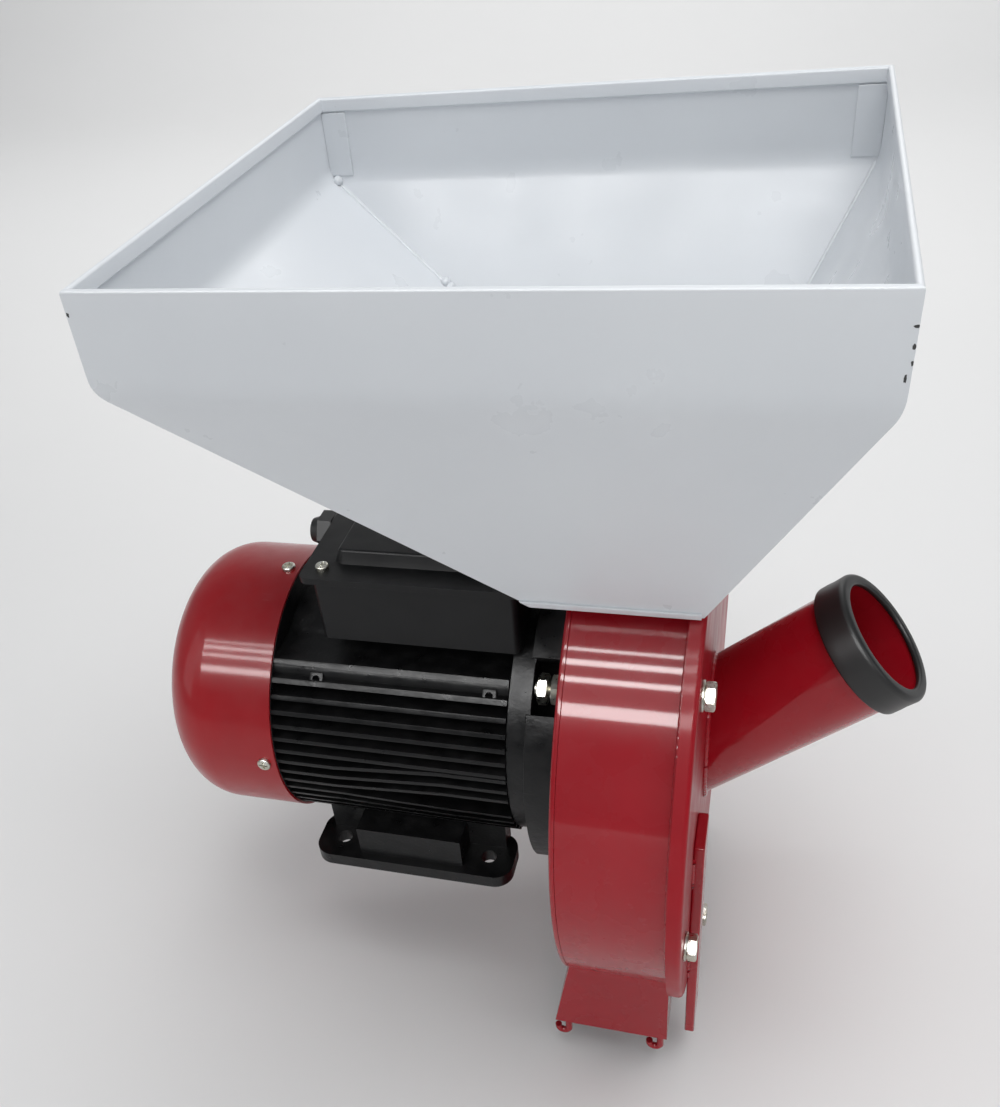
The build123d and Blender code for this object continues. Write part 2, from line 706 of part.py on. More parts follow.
# outlet chute below the drum: straight ends, leaning wall on the motor's side
chute_front_x = ring_x - 2.0
chute_top_z = axis_height - sqrt(drum_radius**2 - chute_half_width**2) + 4
chute_strip = 5.0
with BuildPart() as outlet_chute:
    with BuildSketch(Plane.XZ.offset(-chute_half_width)):
        with BuildLine():
            Polyline(
                (drum_back_x, chute_top_z),
                (chute_front_x, chute_top_z),
                (chute_front_x, chute_bottom_z),
                (drum_back_x - chute_flare - chute_wall, chute_bottom_z),
                (drum_back_x - chute_wall, chute_top_z - chute_strip),
                (drum_back_x - chute_wall, chute_top_z),
                close=True,
            )
        make_face()
    extrude(amount=2 * chute_half_width)
    with BuildSketch(Plane.XZ.offset(-chute_inner)):
        with BuildLine():
            Polyline(
                (drum_back_x, chute_top_z),
                (chute_front_x - chute_wall, chute_top_z),
                (chute_front_x - chute_wall, chute_bottom_z),
                (drum_back_x - chute_flare, chute_bottom_z),
                (drum_back_x, chute_top_z - chute_strip),
                close=True,
            )
        make_face()
    extrude(amount=2 * chute_inner, mode=Mode.SUBTRACT)
    with BuildSketch(station(drum_back_x)):
        Circle(drum_radius)
    extrude(amount=drum_length + drum_wall, mode=Mode.SUBTRACT)
finish(outlet_chute.part, "outlet_chute")

# hooks welded inside the mouth's corners, which hold the sack
hook_radius = 2.2
hook_curl = 3.5
hook_top_z = chute_bottom_z + 10
hook_drop = 22.3
hook_rise = 2.0
hooks = []
for side in (-1, 1):
    for x in (drum_back_x - 6, chute_front_x - 4.5):
        hook_foot = (x, side * (chute_inner - hook_radius), hook_top_z)
        hook_plane = Plane(origin=hook_foot, x_dir=(-1, 0, 0), z_dir=(0, 1, 0))
        with BuildPart() as hook:
            with BuildLine(hook_plane):
                drop = Line((0, 0), (0, -hook_drop))
                curl = ThreePointArc((0, -hook_drop), (hook_curl, -hook_drop - hook_curl), (2 * hook_curl, -hook_drop))
                rise = Line((2 * hook_curl, -hook_drop), (2 * hook_curl, -hook_drop + hook_rise))
            with BuildSketch(Plane(origin=drop @ 0, z_dir=(0, 0, -1))):
                Circle(hook_radius)
            sweep()
        hooks.append(hook.part)
group(hooks, "bag_hooks")

# ======================= hopper =======================
floor_thickness = 2.0
neck_slot_z = (gate_z - 4.4, gate_z + gate_thickness + 1.6)
with BuildPart() as inlet_neck:
    with BuildSketch(Plane.XY.offset(axis_height + 100)):
        with Locations((neck_centre_x, 0)):
            Rectangle(neck_length, 2 * neck_half_depth)
            Rectangle(neck_length - 2 * neck_wall, 2 * (neck_half_depth - neck_wall), mode=Mode.SUBTRACT)
    extrude(amount=neck_top_z - axis_height - 100)
    with BuildSketch(station(chamber_x)):
        Circle(drum_radius)
    extrude(amount=drum_length, mode=Mode.SUBTRACT)
    # slot for the gate in the rear wall
    with BuildSketch(Plane.XY.offset(neck_slot_z[0])):
        with Locations((neck_centre_x, neck_half_depth)):
            Rectangle(neck_length - 2 * neck_wall, 4 * neck_wall)
    extrude(amount=neck_slot_z[1] - neck_slot_z[0], mode=Mode.SUBTRACT)
finish(inlet_neck.part, "inlet_neck")


def funnel(inset, bottom, top):
    """Solid bounded by the hopper's sloping faces, moved in by inset, between two heights."""
    rise = (hopper_knee_z - hopper_skirt_z)
    with BuildPart() as piece:
        for z in (bottom, top):
            share = (z - hopper_skirt_z) / rise
            x0 = throat_x[0] + (hopper_x[0] - throat_x[0]) * share + inset
            x1 = throat_x[1] + (hopper_x[1] - throat_x[1]) * share - inset
            y1 = throat_half_depth + (hopper_half_depth - throat_half_depth) * share - inset
            with BuildSketch(Plane.XY.offset(z)):
                with Locations(((x0 + x1) / 2, 0)):
                    Rectangle(x1 - x0, 2 * y1)
        loft()
    return piece.part


band_centre_x = (hopper_x[0] + hopper_x[1]) / 2
band_length = hopper_x[1] - hopper_x[0]
hem_height = 8.0
hem_thickness = 3.0
with BuildPart() as hopper_sheet:
    add(funnel(0, hopper_skirt_z, hopper_knee_z))
    with BuildSketch(Plane.XY.offset(hopper_knee_z)):
        with Locations((band_centre_x, 0)):
            Rectangle(band_length, 2 * hopper_half_depth)
    extrude(amount=hopper_rim_z - hopper_knee_z)
    add(funnel(hopper_wall, hopper_skirt_z, hopper_knee_z), mode=Mode.SUBTRACT)
    with BuildSketch(Plane.XY.offset(hopper_knee_z)):
        with Locations((band_centre_x, 0)):
            Rectangle(band_length - 2 * hopper_wall, 2 * (hopper_half_depth - hopper_wall))
    extrude(amount=hopper_rim_z - hem_height - hopper_knee_z, mode=Mode.SUBTRACT)
    with BuildSketch(Plane.XY.offset(hopper_rim_z - hem_height)):
        with Locations((band_centre_x, 0)):
            Rectangle(band_length - 2 * hem_thickness, 2 * (hopper_half_depth - hem_thickness))
    extrude(amount=hem_height, mode=Mode.SUBTRACT)
    # room for the drum and its cover under the skirt
    with BuildSketch(station(cover_face_x - lip_depth - 1)):
        Circle(lip_radius + 1)
    extrude(amount=60, mode=Mode.SUBTRACT)
    # slot for the gate in the rear
    with BuildSketch(Plane.XY.offset(neck_slot_z[0])):
        with Locations((neck_centre_x, hopper_half_depth)):
            Rectangle(neck_length - 2 * neck_wall, 2 * (hopper_half_depth - throat_half_depth) + 10)
    extrude(amount=neck_slot_z[1] - neck_slot_z[0], mode=Mode.SUBTRACT)


def corner_line(knee, throat):
    """Outer and inner end of a corner's cut line, carried on past the sheet both ways."""
    step_x = (knee[0] - throat[0]) * 0.12
    step_y = (knee[1] - throat[1]) * 0.12
    return (knee[0] + step_x, knee[1] + step_y), (throat[0] - step_x, throat[1] - step_y)


corners = {}
for end, knee_x, low_x in (("left", hopper_x[0], throat_x[0]), ("right", hopper_x[1], throat_x[1])):
    for face, sign in (("front", -1), ("rear", 1)):
        knee = (knee_x, sign * hopper_half_depth)
        throat = (low_x, sign * throat_half_depth)
        corners[end, face] = corner_line(knee, throat)

panels = {
    "hopper_front_panel": (("left", "front"), ("right", "front")),
    "hopper_rear_panel": (("left", "rear"), ("right", "rear")),
    "hopper_left_panel": (("left", "front"), ("left", "rear")),
    "hopper_right_panel": (("right", "front"), ("right", "rear")),
}
for name, (first, second) in panels.items():
    outer_a, inner_a = corners[first]
    outer_b, inner_b = corners[second]
    with BuildPart() as panel:
        add(hopper_sheet.part)
        with BuildSketch(Plane.XY.offset(hopper_skirt_z)):
            with BuildLine():
                Polyline(outer_a, inner_a, inner_b, outer_b, close=True)
            make_face()
        extrude(amount=hopper_rim_z - hopper_skirt_z, mode=Mode.INTERSECT)
    finish(panel.part, name)

# short folded tabs that close the band's corners from inside
tab_width = 15.0
tab_thickness = 1.2
tab_height = hopper_rim_z - hem_height - hopper_knee_z - 1
tabs = []
for x in (hopper_x[0] + hopper_wall + tab_width / 2, hopper_x[1] - hopper_wall - tab_width / 2):
    for sign in (-1, 1):
        y = sign * (hopper_half_depth - hopper_wall - tab_thickness / 2)
        with BuildPart() as tab:
            with BuildSketch(Plane.XY.offset(hopper_knee_z + 0.5)):
                with Locations((x, y)):
                    Rectangle(tab_width, tab_thickness)
            extrude(amount=tab_height)
        tabs.append(tab.part)
group(tabs, "hopper_corner_tabs")

# floor of the hopper, with the opening over the neck
with BuildPart() as hopper_floor:
    add(funnel(hopper_wall, neck_top_z, neck_top_z + floor_thickness))
    with BuildSketch(Plane.XY.offset(neck_top_z)):
        with Locations((neck_centre_x, 0)):
            Rectangle(neck_length - 2 * neck_wall, 2 * (neck_half_depth - neck_wall))
    extrude(amount=floor_thickness, mode=Mode.SUBTRACT)
finish(hopper_floor.part, "hopper_floor")

# gate: a flat plate that slides out to the rear, its end turned up as a handle
gate_width = neck_length - 2 * neck_wall - 2 * loose_fit
gate_front_y = -(neck_half_depth - neck_wall - loose_fit)
gate_handle_y = 130.0
handle_rise = 24.0
with BuildPart() as feed_gate:
    with BuildSketch(Plane.XY.offset(gate_z)):
        with Locations((neck_centre_x, (gate_front_y + gate_handle_y) / 2)):
            Rectangle(gate_width, gate_handle_y - gate_front_y)
    extrude(amount=gate_thickness)
    with BuildSketch(Plane.XY.offset(gate_z)):
        with Locations((neck_centre_x, gate_handle_y - gate_thickness / 2)):
            Rectangle(gate_width, gate_thickness)
    extrude(amount=handle_rise)
finish(feed_gate.part, "feed_gate")

guide_width = 3.0
guide_height = 3.2
guide_front_y = neck_wall - neck_half_depth
funnel_slope = (hopper_half_depth - throat_half_depth) / hopper_funnel_height
guide_end_y = throat_half_depth + funnel_slope * (neck_slot_z[0] - hopper_skirt_z)
guide_reach = gate_width / 2 + loose_fit - guide_width / 2
guides = []
for side in (-1, 1):
    with BuildPart() as guide:
        with BuildSketch(Plane.XY.offset(gate_z - loose_fit)):
            with Locations((neck_centre_x + side * guide_reach, (guide_end_y + guide_front_y) / 2)):
                Rectangle(guide_width, guide_end_y - guide_front_y)
        extrude(amount=-guide_height)
    guides.append(guide.part)
group(guides, "gate_guides")

# ======================= rotor of the mill =======================
disc_rear_x = chamber_x + 11
plane_a_x = disc_rear_x + disc_thickness + 1
plane_b_x = plane_a_x + hammer_thickness + 4
disc_front_x = plane_b_x + hammer_thickness + 1
key_x = chamber_x + 6
key_length = 32.0
hub_x = chamber_x + 4
hub_length = hub_end_x + seat_gap - hub_x

with BuildPart() as hub_sleeve:
    with BuildSketch(station(hub_x)):
        Circle(hub_radius)
        Circle(shaft_radius, mode=Mode.SUBTRACT)
    extrude(amount=hub_length)
    with BuildSketch(station(hub_x)):
        with Locations((0, shaft_radius + 0.35)):
            Rectangle(6, 5)
    extrude(amount=hub_length, mode=Mode.SUBTRACT)
finish(hub_sleeve.part, "hub_sleeve")

with BuildPart() as shaft_key:
    with BuildSketch(station(key_x)):
        with Locations((0, shaft_radius - 0.5)):
            Rectangle(6, 6)
    extrude(amount=key_length)
finish(shaft_key.part, "shaft_key")

for name, x in (("hammer_disc_rear", disc_rear_x), ("hammer_disc_front", disc_front_x)):
    with BuildPart() as disc:
        with BuildSketch(station(x)):
            Circle(disc_radius)
            Circle(hub_radius, mode=Mode.SUBTRACT)
            with Locations(*quarter_points):
                Circle(pin_radius, mode=Mode.SUBTRACT)
        extrude(amount=disc_thickness)
    finish(disc.part, name)

pin_head = 2.0
clip_thickness = 1.5
disc_outer_x = disc_front_x + disc_thickness
pins = []
spacers = []
clips = []
for index, (y, z) in enumerate(quarter_points):
    with BuildPart() as pin:
        with BuildSketch(station(disc_rear_x)):
            with Locations((y, z)):
                Circle(pin_radius + 2)
        extrude(amount=-pin_head)
        with BuildSketch(station(disc_rear_x)):
            with Locations((y, z)):
                Circle(pin_radius)
        extrude(amount=disc_outer_x + 4 - disc_rear_x)
    pins.append(pin.part)
    in_plane_a = index in (0, 3)
    spacer_x = plane_a_x + hammer_thickness + loose_fit if in_plane_a else disc_rear_x + disc_thickness
    spacer_end_x = disc_front_x if in_plane_a else plane_b_x - loose_fit
    with BuildPart() as spacer:
        with BuildSketch(station(spacer_x)):
            with Locations((y, z)):
                Circle(pin_radius + 3)
                Circle(pin_radius, mode=Mode.SUBTRACT)
        extrude(amount=spacer_end_x - spacer_x)
    spacers.append(spacer.part)
    with BuildPart() as clip:
        with BuildSketch(station(disc_outer_x)):
            with Locations((y, z)):
                Circle(pin_radius + 3)
                Circle(pin_radius, mode=Mode.SUBTRACT)
        extrude(amount=clip_thickness)
    clips.append(clip.part)
group(pins, "hammer_pins")
group(spacers, "pin_spacers")
group(clips, "pin_clips")

# four swinging hammers, hanging straight down at rest
hammer_head = 11.0
for index, (y, z) in enumerate(quarter_points):
    x = plane_a_x if index in (0, 3) else plane_b_x
    with BuildPart() as hammer:
        with BuildSketch(station(x)):
            with Locations((y, z - (hammer_length - hammer_head) / 2)):
                RectangleRounded(hammer_width, hammer_length + hammer_head, 4)
            with Locations((y, z)):
                Circle(pin_radius + running_fit, mode=Mode.SUBTRACT)
        extrude(amount=hammer_thickness)
    finish(hammer.part, f"hammer_{index + 1}")

finish(ring_at(hub_end_x + seat_gap, 3.0, hub_radius - 3, 4.2), "hub_washer")
hub_bolt_plane = station(hub_end_x + seat_gap + 3.0)
finish(hex_bolt(hub_bolt_plane, 13, 5.5, 4.0, 20), "hub_bolt")

# ======================= screen =======================
screen_start = 200.0
screen_sweep = 140.0
screen_x = chamber_x + 0.5
screen_length = shell_end_x - 16 - screen_x
sector_points = [(0, 0)]
for step in range(8):
    turn = radians(screen_start + screen_sweep * step / 7)
    sector_points.append((220 * cos(turn), 220 * sin(turn)))
with BuildPart() as screen:
    with BuildSketch(station(screen_x)):
        Circle(screen_radius + screen_wall)
        Circle(screen_radius, mode=Mode.SUBTRACT)
        with BuildLine():
            Polyline(*sector_points, close=True)
        make_face(mode=Mode.INTERSECT)
    extrude(amount=screen_length)
    hole_columns = 21
    screen_middle = (screen_x + screen_length / 2, 0, axis_height)
    for column in range(hole_columns):
        turn = radians(screen_start + screen_sweep * (column + 0.5) / hole_columns)
        radial = (0, cos(turn), sin(turn))
        with BuildSketch(Plane(origin=screen_middle, x_dir=(1, 0, 0), z_dir=radial)):
            with GridLocations(9.5, 1, 4, 1):
                Circle(3)
        extrude(amount=screen_radius + 10, mode=Mode.SUBTRACT)
finish(screen.part, "screen")

# the screen rests in a curved rail on the back plate and in one on the front end of the shell
rail_depth = 5.0
rails = []
for x in (chamber_x, screen_x + screen_length - rail_depth):
    with BuildPart() as rail:
        with BuildSketch(station(x)):
            Circle(drum_inner)
            Circle(screen_radius + screen_wall, mode=Mode.SUBTRACT)
            with BuildLine():
                Polyline(*sector_points, close=True)
            make_face(mode=Mode.INTERSECT)
        extrude(amount=rail_depth)
    rails.append(rail.part)
group(rails, "screen_rails")
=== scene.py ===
"""Looks of an electric hammer mill: sheet hopper, round milling drum, foot-mounted motor, cob pipe.

Every length is in metres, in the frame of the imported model: the origin lies between the motor's foot
holes, +X runs along the shaft towards the drum's cover and +Z is up.
"""

import json
import logging
import math
import random
from dataclasses import dataclass, field
from enum import Enum

import bmesh
import bpy
from mathutils import Matrix, Vector

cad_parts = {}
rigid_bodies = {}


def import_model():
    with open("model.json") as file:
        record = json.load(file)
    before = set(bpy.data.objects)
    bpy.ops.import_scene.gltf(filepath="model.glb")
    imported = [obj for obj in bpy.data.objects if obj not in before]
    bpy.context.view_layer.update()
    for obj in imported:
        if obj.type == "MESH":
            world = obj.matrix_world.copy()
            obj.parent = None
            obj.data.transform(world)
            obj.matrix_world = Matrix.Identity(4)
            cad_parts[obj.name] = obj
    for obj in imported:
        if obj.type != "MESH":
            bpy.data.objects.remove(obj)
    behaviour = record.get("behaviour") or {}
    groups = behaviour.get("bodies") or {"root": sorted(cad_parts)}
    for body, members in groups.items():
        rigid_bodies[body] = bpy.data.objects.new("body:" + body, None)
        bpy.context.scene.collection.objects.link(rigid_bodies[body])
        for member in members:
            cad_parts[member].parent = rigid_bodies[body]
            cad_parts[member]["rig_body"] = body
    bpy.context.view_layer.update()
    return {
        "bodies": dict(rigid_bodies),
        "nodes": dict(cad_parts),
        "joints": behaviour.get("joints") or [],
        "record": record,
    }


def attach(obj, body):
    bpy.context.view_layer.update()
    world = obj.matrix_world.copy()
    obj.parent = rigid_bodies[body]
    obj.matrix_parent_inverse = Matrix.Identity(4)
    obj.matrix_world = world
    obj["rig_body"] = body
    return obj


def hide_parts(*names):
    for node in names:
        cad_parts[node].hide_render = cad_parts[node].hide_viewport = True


log = logging.getLogger("hammer_mill")

Tree = bpy.types.NodeTree
Socket = bpy.types.NodeSocket
Piece = bpy.types.Object
Color = tuple[float, float, float]
Face = tuple[int, ...]

SHAFT_Z = 0.09
ALONG_SHAFT = Vector((1, 0, 0))


class Body(Enum):
    """The rigid bodies that the pieces ride on."""

    HOUSING = "housing"
    ROTOR = "rotor"
    GATE = "gate"
    HAMMER_1 = "hammer_body_1"
    HAMMER_2 = "hammer_body_2"
    HAMMER_3 = "hammer_body_3"
    HAMMER_4 = "hammer_body_4"


class Slot(Enum):
    """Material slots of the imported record."""

    WHITE = "white_paint"
    RED = "red_paint"
    COWL = "red_cowl_paint"
    MOTOR = "motor_black"
    BOX = "box_black"
    ZINC = "zinc"
    STEEL = "mill_steel"
    HAMMER = "hammer_steel"
    CORE = "core_steel"
    WINDING = "winding_enamel"
    RUBBER = "black_rubber"
    PLASTIC = "black_plastic"
    CAPACITOR = "capacitor_plastic"


# --------------------------------------------------------------------------------------------------
# finishes
# --------------------------------------------------------------------------------------------------


@dataclass(frozen=True)
class Finish:
    """A procedural surface: a base colour that drifts and gathers dust, with grain in gloss and relief.

    Args:
        name: the material's name.
        color: main colour, linear.
        shade: second colour, which the drift moves towards.
        drift: how far the colour moves towards the shade, 0 to 1.
        drift_scale: drift patches per metre.
        metallic: 1 for bare metal.
        rough: lowest and highest roughness.
        rough_scale: gloss patches per metre.
        relief: bump height of the grain, in metres.
        grain_scale: grains per metre.
        wave: bump height of broad unevenness, in metres.
        wave_scale: broad unevenness per metre.
        coat: weight of a clear coat.
        coat_rough: roughness of the clear coat.
        dust: share of pale dust that lies on what faces up.
        dust_color: colour of that dust.
        scratch: share of fine scratches.
        scratch_color: colour of the scratches.
        specular: specular level.
    """

    name: str
    color: Color
    shade: Color
    drift: float = 0.5
    drift_scale: float = 25.0
    metallic: float = 0.0
    rough: tuple[float, float] = (0.3, 0.4)
    rough_scale: float = 60.0
    relief: float = 0.00001
    grain_scale: float = 1500.0
    wave: float = 0.0
    wave_scale: float = 20.0
    coat: float = 0.0
    coat_rough: float = 0.05
    dust: float = 0.0
    dust_color: Color = (0.35, 0.33, 0.3)
    scratch: float = 0.0
    scratch_color: Color = (0.5, 0.5, 0.5)
    specular: float = 0.5

    def material(self) -> bpy.types.Material:
        """Build the finish's material, or return it if it has been built.

        Returns:
            The material with its node tree.
        """
        found = bpy.data.materials.get(self.name)
        if found is not None:
            return found
        mat = bpy.data.materials.new(self.name)
        mat.use_nodes = True
        tree = mat.node_tree
        shader = tree.nodes["Principled BSDF"]
        shader.inputs["Metallic"].default_value = self.metallic
        shader.inputs["Specular IOR Level"].default_value = self.specular
        shader.inputs["Coat Weight"].default_value = self.coat
        shader.inputs["Coat Roughness"].default_value = self.coat_rough
        place = tree.nodes.new("ShaderNodeTexCoord").outputs["Object"]
        color = self._mix(tree, self._drift(tree, place), self.color, self.shade)
        if self.scratch > 0:
            color = self._mix(tree, self._scratches(tree, place), color, self.scratch_color)
        if self.dust > 0:
            color = self._mix(tree, self._dust(tree, place), color, self.dust_color)
        tree.links.new(color, shader.inputs["Base Color"])
        tree.links.new(self._roughness(tree, place), shader.inputs["Roughness"])
        tree.links.new(self._bump(tree, place), shader.inputs["Normal"])
        mat.diffuse_color = (*self.color, 1.0)
        return mat

    def _noise(self, tree: Tree, place: Socket, scale: float, detail: float) -> Socket:
        """Add a noise texture.

        Args:
            tree: the material's nodes.
            place: coordinates.
            scale: features per metre.
            detail: octaves.

        Returns:
            The noise's factor.
        """
        node = tree.nodes.new("ShaderNodeTexNoise")
        node.inputs["Scale"].default_value = scale
        node.inputs["Detail"].default_value = detail
        tree.links.new(place, node.inputs["Vector"])
        return node.outputs["Fac"]

    def _range(
        self, tree: Tree, value: Socket, source: tuple[float, float], target: tuple[float, float]
    ) -> Socket:
        """Map a value from one range to another, clamped.

        Args:
            tree: the material's nodes.
            value: the value to map.
            source: its range.
            target: the new range.

        Returns:
            The mapped value.
        """
        node = tree.nodes.new("ShaderNodeMapRange")
        node.inputs["From Min"].default_value = source[0]
        node.inputs["From Max"].default_value = source[1]
        node.inputs["To Min"].default_value = target[0]
        node.inputs["To Max"].default_value = target[1]
        tree.links.new(value, node.inputs["Value"])
        return node.outputs["Result"]

    def _mix(self, tree: Tree, share: Socket, first: Socket | Color, second: Socket | Color) -> Socket:
        """Mix two colours, each a socket or three numbers.

        Args:
            tree: the material's nodes.
            share: how much of the second colour shows.
            first: the colour where the share is 0.
            second: the colour where the share is 1.

        Returns:
            The mixed colour.
        """
        node = tree.nodes.new("ShaderNodeMix")
        node.data_type = "RGBA"
        tree.links.new(share, node.inputs["Factor"])
        for socket, value in ((node.inputs[6], first), (node.inputs[7], second)):
            if isinstance(value, tuple):
                socket.default_value = (*value, 1.0)
            else:
                tree.links.new(value, socket)
        return node.outputs[2]

    def _times(self, tree: Tree, first: Socket, second: Socket) -> Socket:
        """Multiply two values.

        Args:
            tree: the material's nodes.
            first: one value.
            second: the other.

        Returns:
            Their product.
        """
        node = tree.nodes.new("ShaderNodeMath")
        node.operation = "MULTIPLY"
        tree.links.new(first, node.inputs[0])
        tree.links.new(second, node.inputs[1])
        return node.outputs["Value"]

    def _drift(self, tree: Tree, place: Socket) -> Socket:
        """Share of the second colour, from soft patches."""
        patches = self._noise(tree, place, self.drift_scale, 4.0)
        return self._range(tree, patches, (0.35, 0.7), (0.0, self.drift))

    def _scratches(self, tree: Tree, place: Socket) -> Socket:
        """Share of scratch colour, from noise that is drawn out along one direction and broken up.

        Args:
            tree: the material's nodes.
            place: coordinates.

        Returns:
            The share.
        """
        turn = tree.nodes.new("ShaderNodeMapping")
        turn.inputs["Rotation"].default_value = (0.4, 0.7, 0.5)
        turn.inputs["Scale"].default_value = (1.0, 14.0, 14.0)
        tree.links.new(place, turn.inputs["Vector"])
        drawn = self._noise(tree, turn.outputs["Vector"], 40.0, 3.0)
        lines = self._range(tree, drawn, (0.70, 0.74), (0.0, self.scratch))
        broken = self._range(tree, self._noise(tree, place, 18.0, 2.0), (0.5, 0.62), (0.0, 1.0))
        return self._times(tree, lines, broken)

    def _dust(self, tree: Tree, place: Socket) -> Socket:
        """Share of dust: more on faces that look up, in uneven patches.

        Args:
            tree: the material's nodes.
            place: coordinates.

        Returns:
            The share.
        """
        normal = tree.nodes.new("ShaderNodeTexCoord").outputs["Normal"]
        split = tree.nodes.new("ShaderNodeSeparateXYZ")
        tree.links.new(normal, split.inputs["Vector"])
        upward = self._range(tree, split.outputs["Z"], (-0.2, 1.0), (0.15, 1.0))
        patches = self._range(tree, self._noise(tree, place, 90.0, 8.0), (0.38, 0.75), (0.0, self.dust))
        return self._times(tree, upward, patches)

    def _roughness(self, tree: Tree, place: Socket) -> Socket:
        """Roughness in uneven patches."""
        return self._range(tree, self._noise(tree, place, self.rough_scale, 5.0), (0.3, 0.7), self.rough)

    def _bump(self, tree: Tree, place: Socket) -> Socket:
        """Relief from fine grain over broad unevenness.

        Args:
            tree: the material's nodes.
            place: coordinates.

        Returns:
            The bumped normal.
        """
        grain = tree.nodes.new("ShaderNodeBump")
        grain.inputs["Distance"].default_value = self.relief
        tree.links.new(self._noise(tree, place, self.grain_scale, 3.0), grain.inputs["Height"])
        if self.wave > 0:
            broad = tree.nodes.new("ShaderNodeBump")
            broad.inputs["Distance"].default_value = self.wave
            tree.links.new(self._noise(tree, place, self.wave_scale, 1.0), broad.inputs["Height"])
            tree.links.new(broad.outputs["Normal"], grain.inputs["Normal"])
        return grain.outputs["Normal"]


WHITE_POWDER = Finish(
    "white_powder_coat", (0.67, 0.695, 0.72), (0.62, 0.645, 0.675), drift=0.6, drift_scale=9.0,
    rough=(0.26, 0.4), rough_scale=30.0, relief=0.000012, grain_scale=900.0, wave=0.0007, wave_scale=9.0,
    scratch=0.05,
)
RED_ENAMEL = Finish(
    "red_enamel", (0.33, 0.0055, 0.013), (0.25, 0.004, 0.009), drift=0.45, drift_scale=14.0,
    rough=(0.22, 0.34), rough_scale=40.0, relief=0.000008, grain_scale=700.0, wave=0.0007,
    wave_scale=16.0, coat=0.6, coat_rough=0.06, dust=0.015, scratch=0.08,
    scratch_color=(0.6, 0.2, 0.2), specular=0.1,
)
COVER_ENAMEL = Finish(
    "red_cover_enamel", (0.33, 0.0055, 0.013), (0.25, 0.004, 0.009), drift=0.45, drift_scale=14.0,
    rough=(0.36, 0.48), rough_scale=40.0, relief=0.000008, grain_scale=700.0, coat=0.22, coat_rough=0.12,
    dust=0.015, scratch=0.08, scratch_color=(0.6, 0.2, 0.2), specular=0.1,
)
COWL_ENAMEL = Finish(
    "red_cowl_enamel", (0.36, 0.009, 0.014), (0.27, 0.006, 0.010), drift=0.5, drift_scale=18.0,
    rough=(0.28, 0.42), rough_scale=55.0, relief=0.00002, grain_scale=520.0, wave=0.0006,
    wave_scale=24.0, coat=0.5, coat_rough=0.12, dust=0.03, scratch=0.10,
    scratch_color=(0.55, 0.3, 0.28), specular=0.15,
)
MOTOR_ENAMEL = Finish(
    "black_motor_enamel", (0.0035, 0.0036, 0.0040), (0.006, 0.006, 0.0065), drift=0.8,
    drift_scale=60.0, rough=(0.26, 0.44), rough_scale=110.0, relief=0.00016, grain_scale=420.0,
    wave=0.0006, wave_scale=60.0, dust=0.03, dust_color=(0.09, 0.085, 0.08), scratch=0.2,
    scratch_color=(0.08, 0.08, 0.08), specular=0.3,
)
BOX_POWDER = Finish(
    "black_box_powder_coat", (0.0035, 0.0037, 0.0045), (0.006, 0.006, 0.0065), drift=0.6, drift_scale=30.0,
    rough=(0.36, 0.5), relief=0.00003, grain_scale=1300.0, wave=0.0003, wave_scale=20.0, dust=0.05,
    dust_color=(0.09, 0.09, 0.09), scratch=0.2, scratch_color=(0.08, 0.08, 0.08), specular=0.3,
)
ZINC_PLATE = Finish(
    "zinc_plate", (0.60, 0.60, 0.56), (0.50, 0.47, 0.36), drift=0.8, drift_scale=160.0, metallic=1.0,
    rough=(0.22, 0.42), rough_scale=400.0, relief=0.000015, grain_scale=2200.0, scratch=0.2,
    scratch_color=(0.3, 0.3, 0.28),
)
MACHINED_STEEL = Finish(
    "machined_steel", (0.48, 0.48, 0.48), (0.36, 0.34, 0.31), drift=0.6, drift_scale=90.0, metallic=1.0,
    rough=(0.28, 0.48), rough_scale=300.0, relief=0.00001, grain_scale=1800.0, scratch=0.3,
    scratch_color=(0.2, 0.19, 0.18),
)
HAMMER_STEEL = Finish(
    "hardened_hammer_steel", (0.22, 0.22, 0.24), (0.16, 0.13, 0.11), drift=0.7, drift_scale=120.0,
    metallic=1.0, rough=(0.35, 0.55), rough_scale=240.0, relief=0.00004, grain_scale=900.0, scratch=0.4,
    scratch_color=(0.4, 0.4, 0.4),
)
CORE_STEEL = Finish(
    "laminated_core", (0.25, 0.25, 0.26), (0.18, 0.15, 0.12), drift=0.7, drift_scale=70.0, metallic=1.0,
    rough=(0.4, 0.6), relief=0.00005, grain_scale=1200.0,
)
WINDING_VARNISH = Finish(
    "varnished_winding", (0.42, 0.13, 0.035), (0.26, 0.07, 0.02), drift=0.7, drift_scale=200.0,
    metallic=0.6, rough=(0.25, 0.4), relief=0.0005, grain_scale=500.0, coat=0.6,
)
RUBBER = Finish(
    "black_rubber", (0.012, 0.012, 0.0125), (0.020, 0.020, 0.020), drift=0.6, drift_scale=80.0,
    rough=(0.38, 0.55), rough_scale=120.0, relief=0.00003, grain_scale=1400.0, wave=0.0003,
    wave_scale=50.0, dust=0.12, dust_color=(0.1, 0.1, 0.1),
)
BLACK_PLASTIC = Finish(
    "black_plastic", (0.014, 0.014, 0.015), (0.022, 0.022, 0.022), drift=0.5, drift_scale=60.0,
    rough=(0.3, 0.45), relief=0.00003, grain_scale=1600.0, dust=0.1, dust_color=(0.12, 0.12, 0.12),
)
CAPACITOR_SHELL = Finish(
    "capacitor_shell", (0.62, 0.60, 0.54), (0.55, 0.53, 0.47), drift=0.5, drift_scale=40.0,
    rough=(0.35, 0.5), relief=0.00003, grain_scale=1300.0,
)
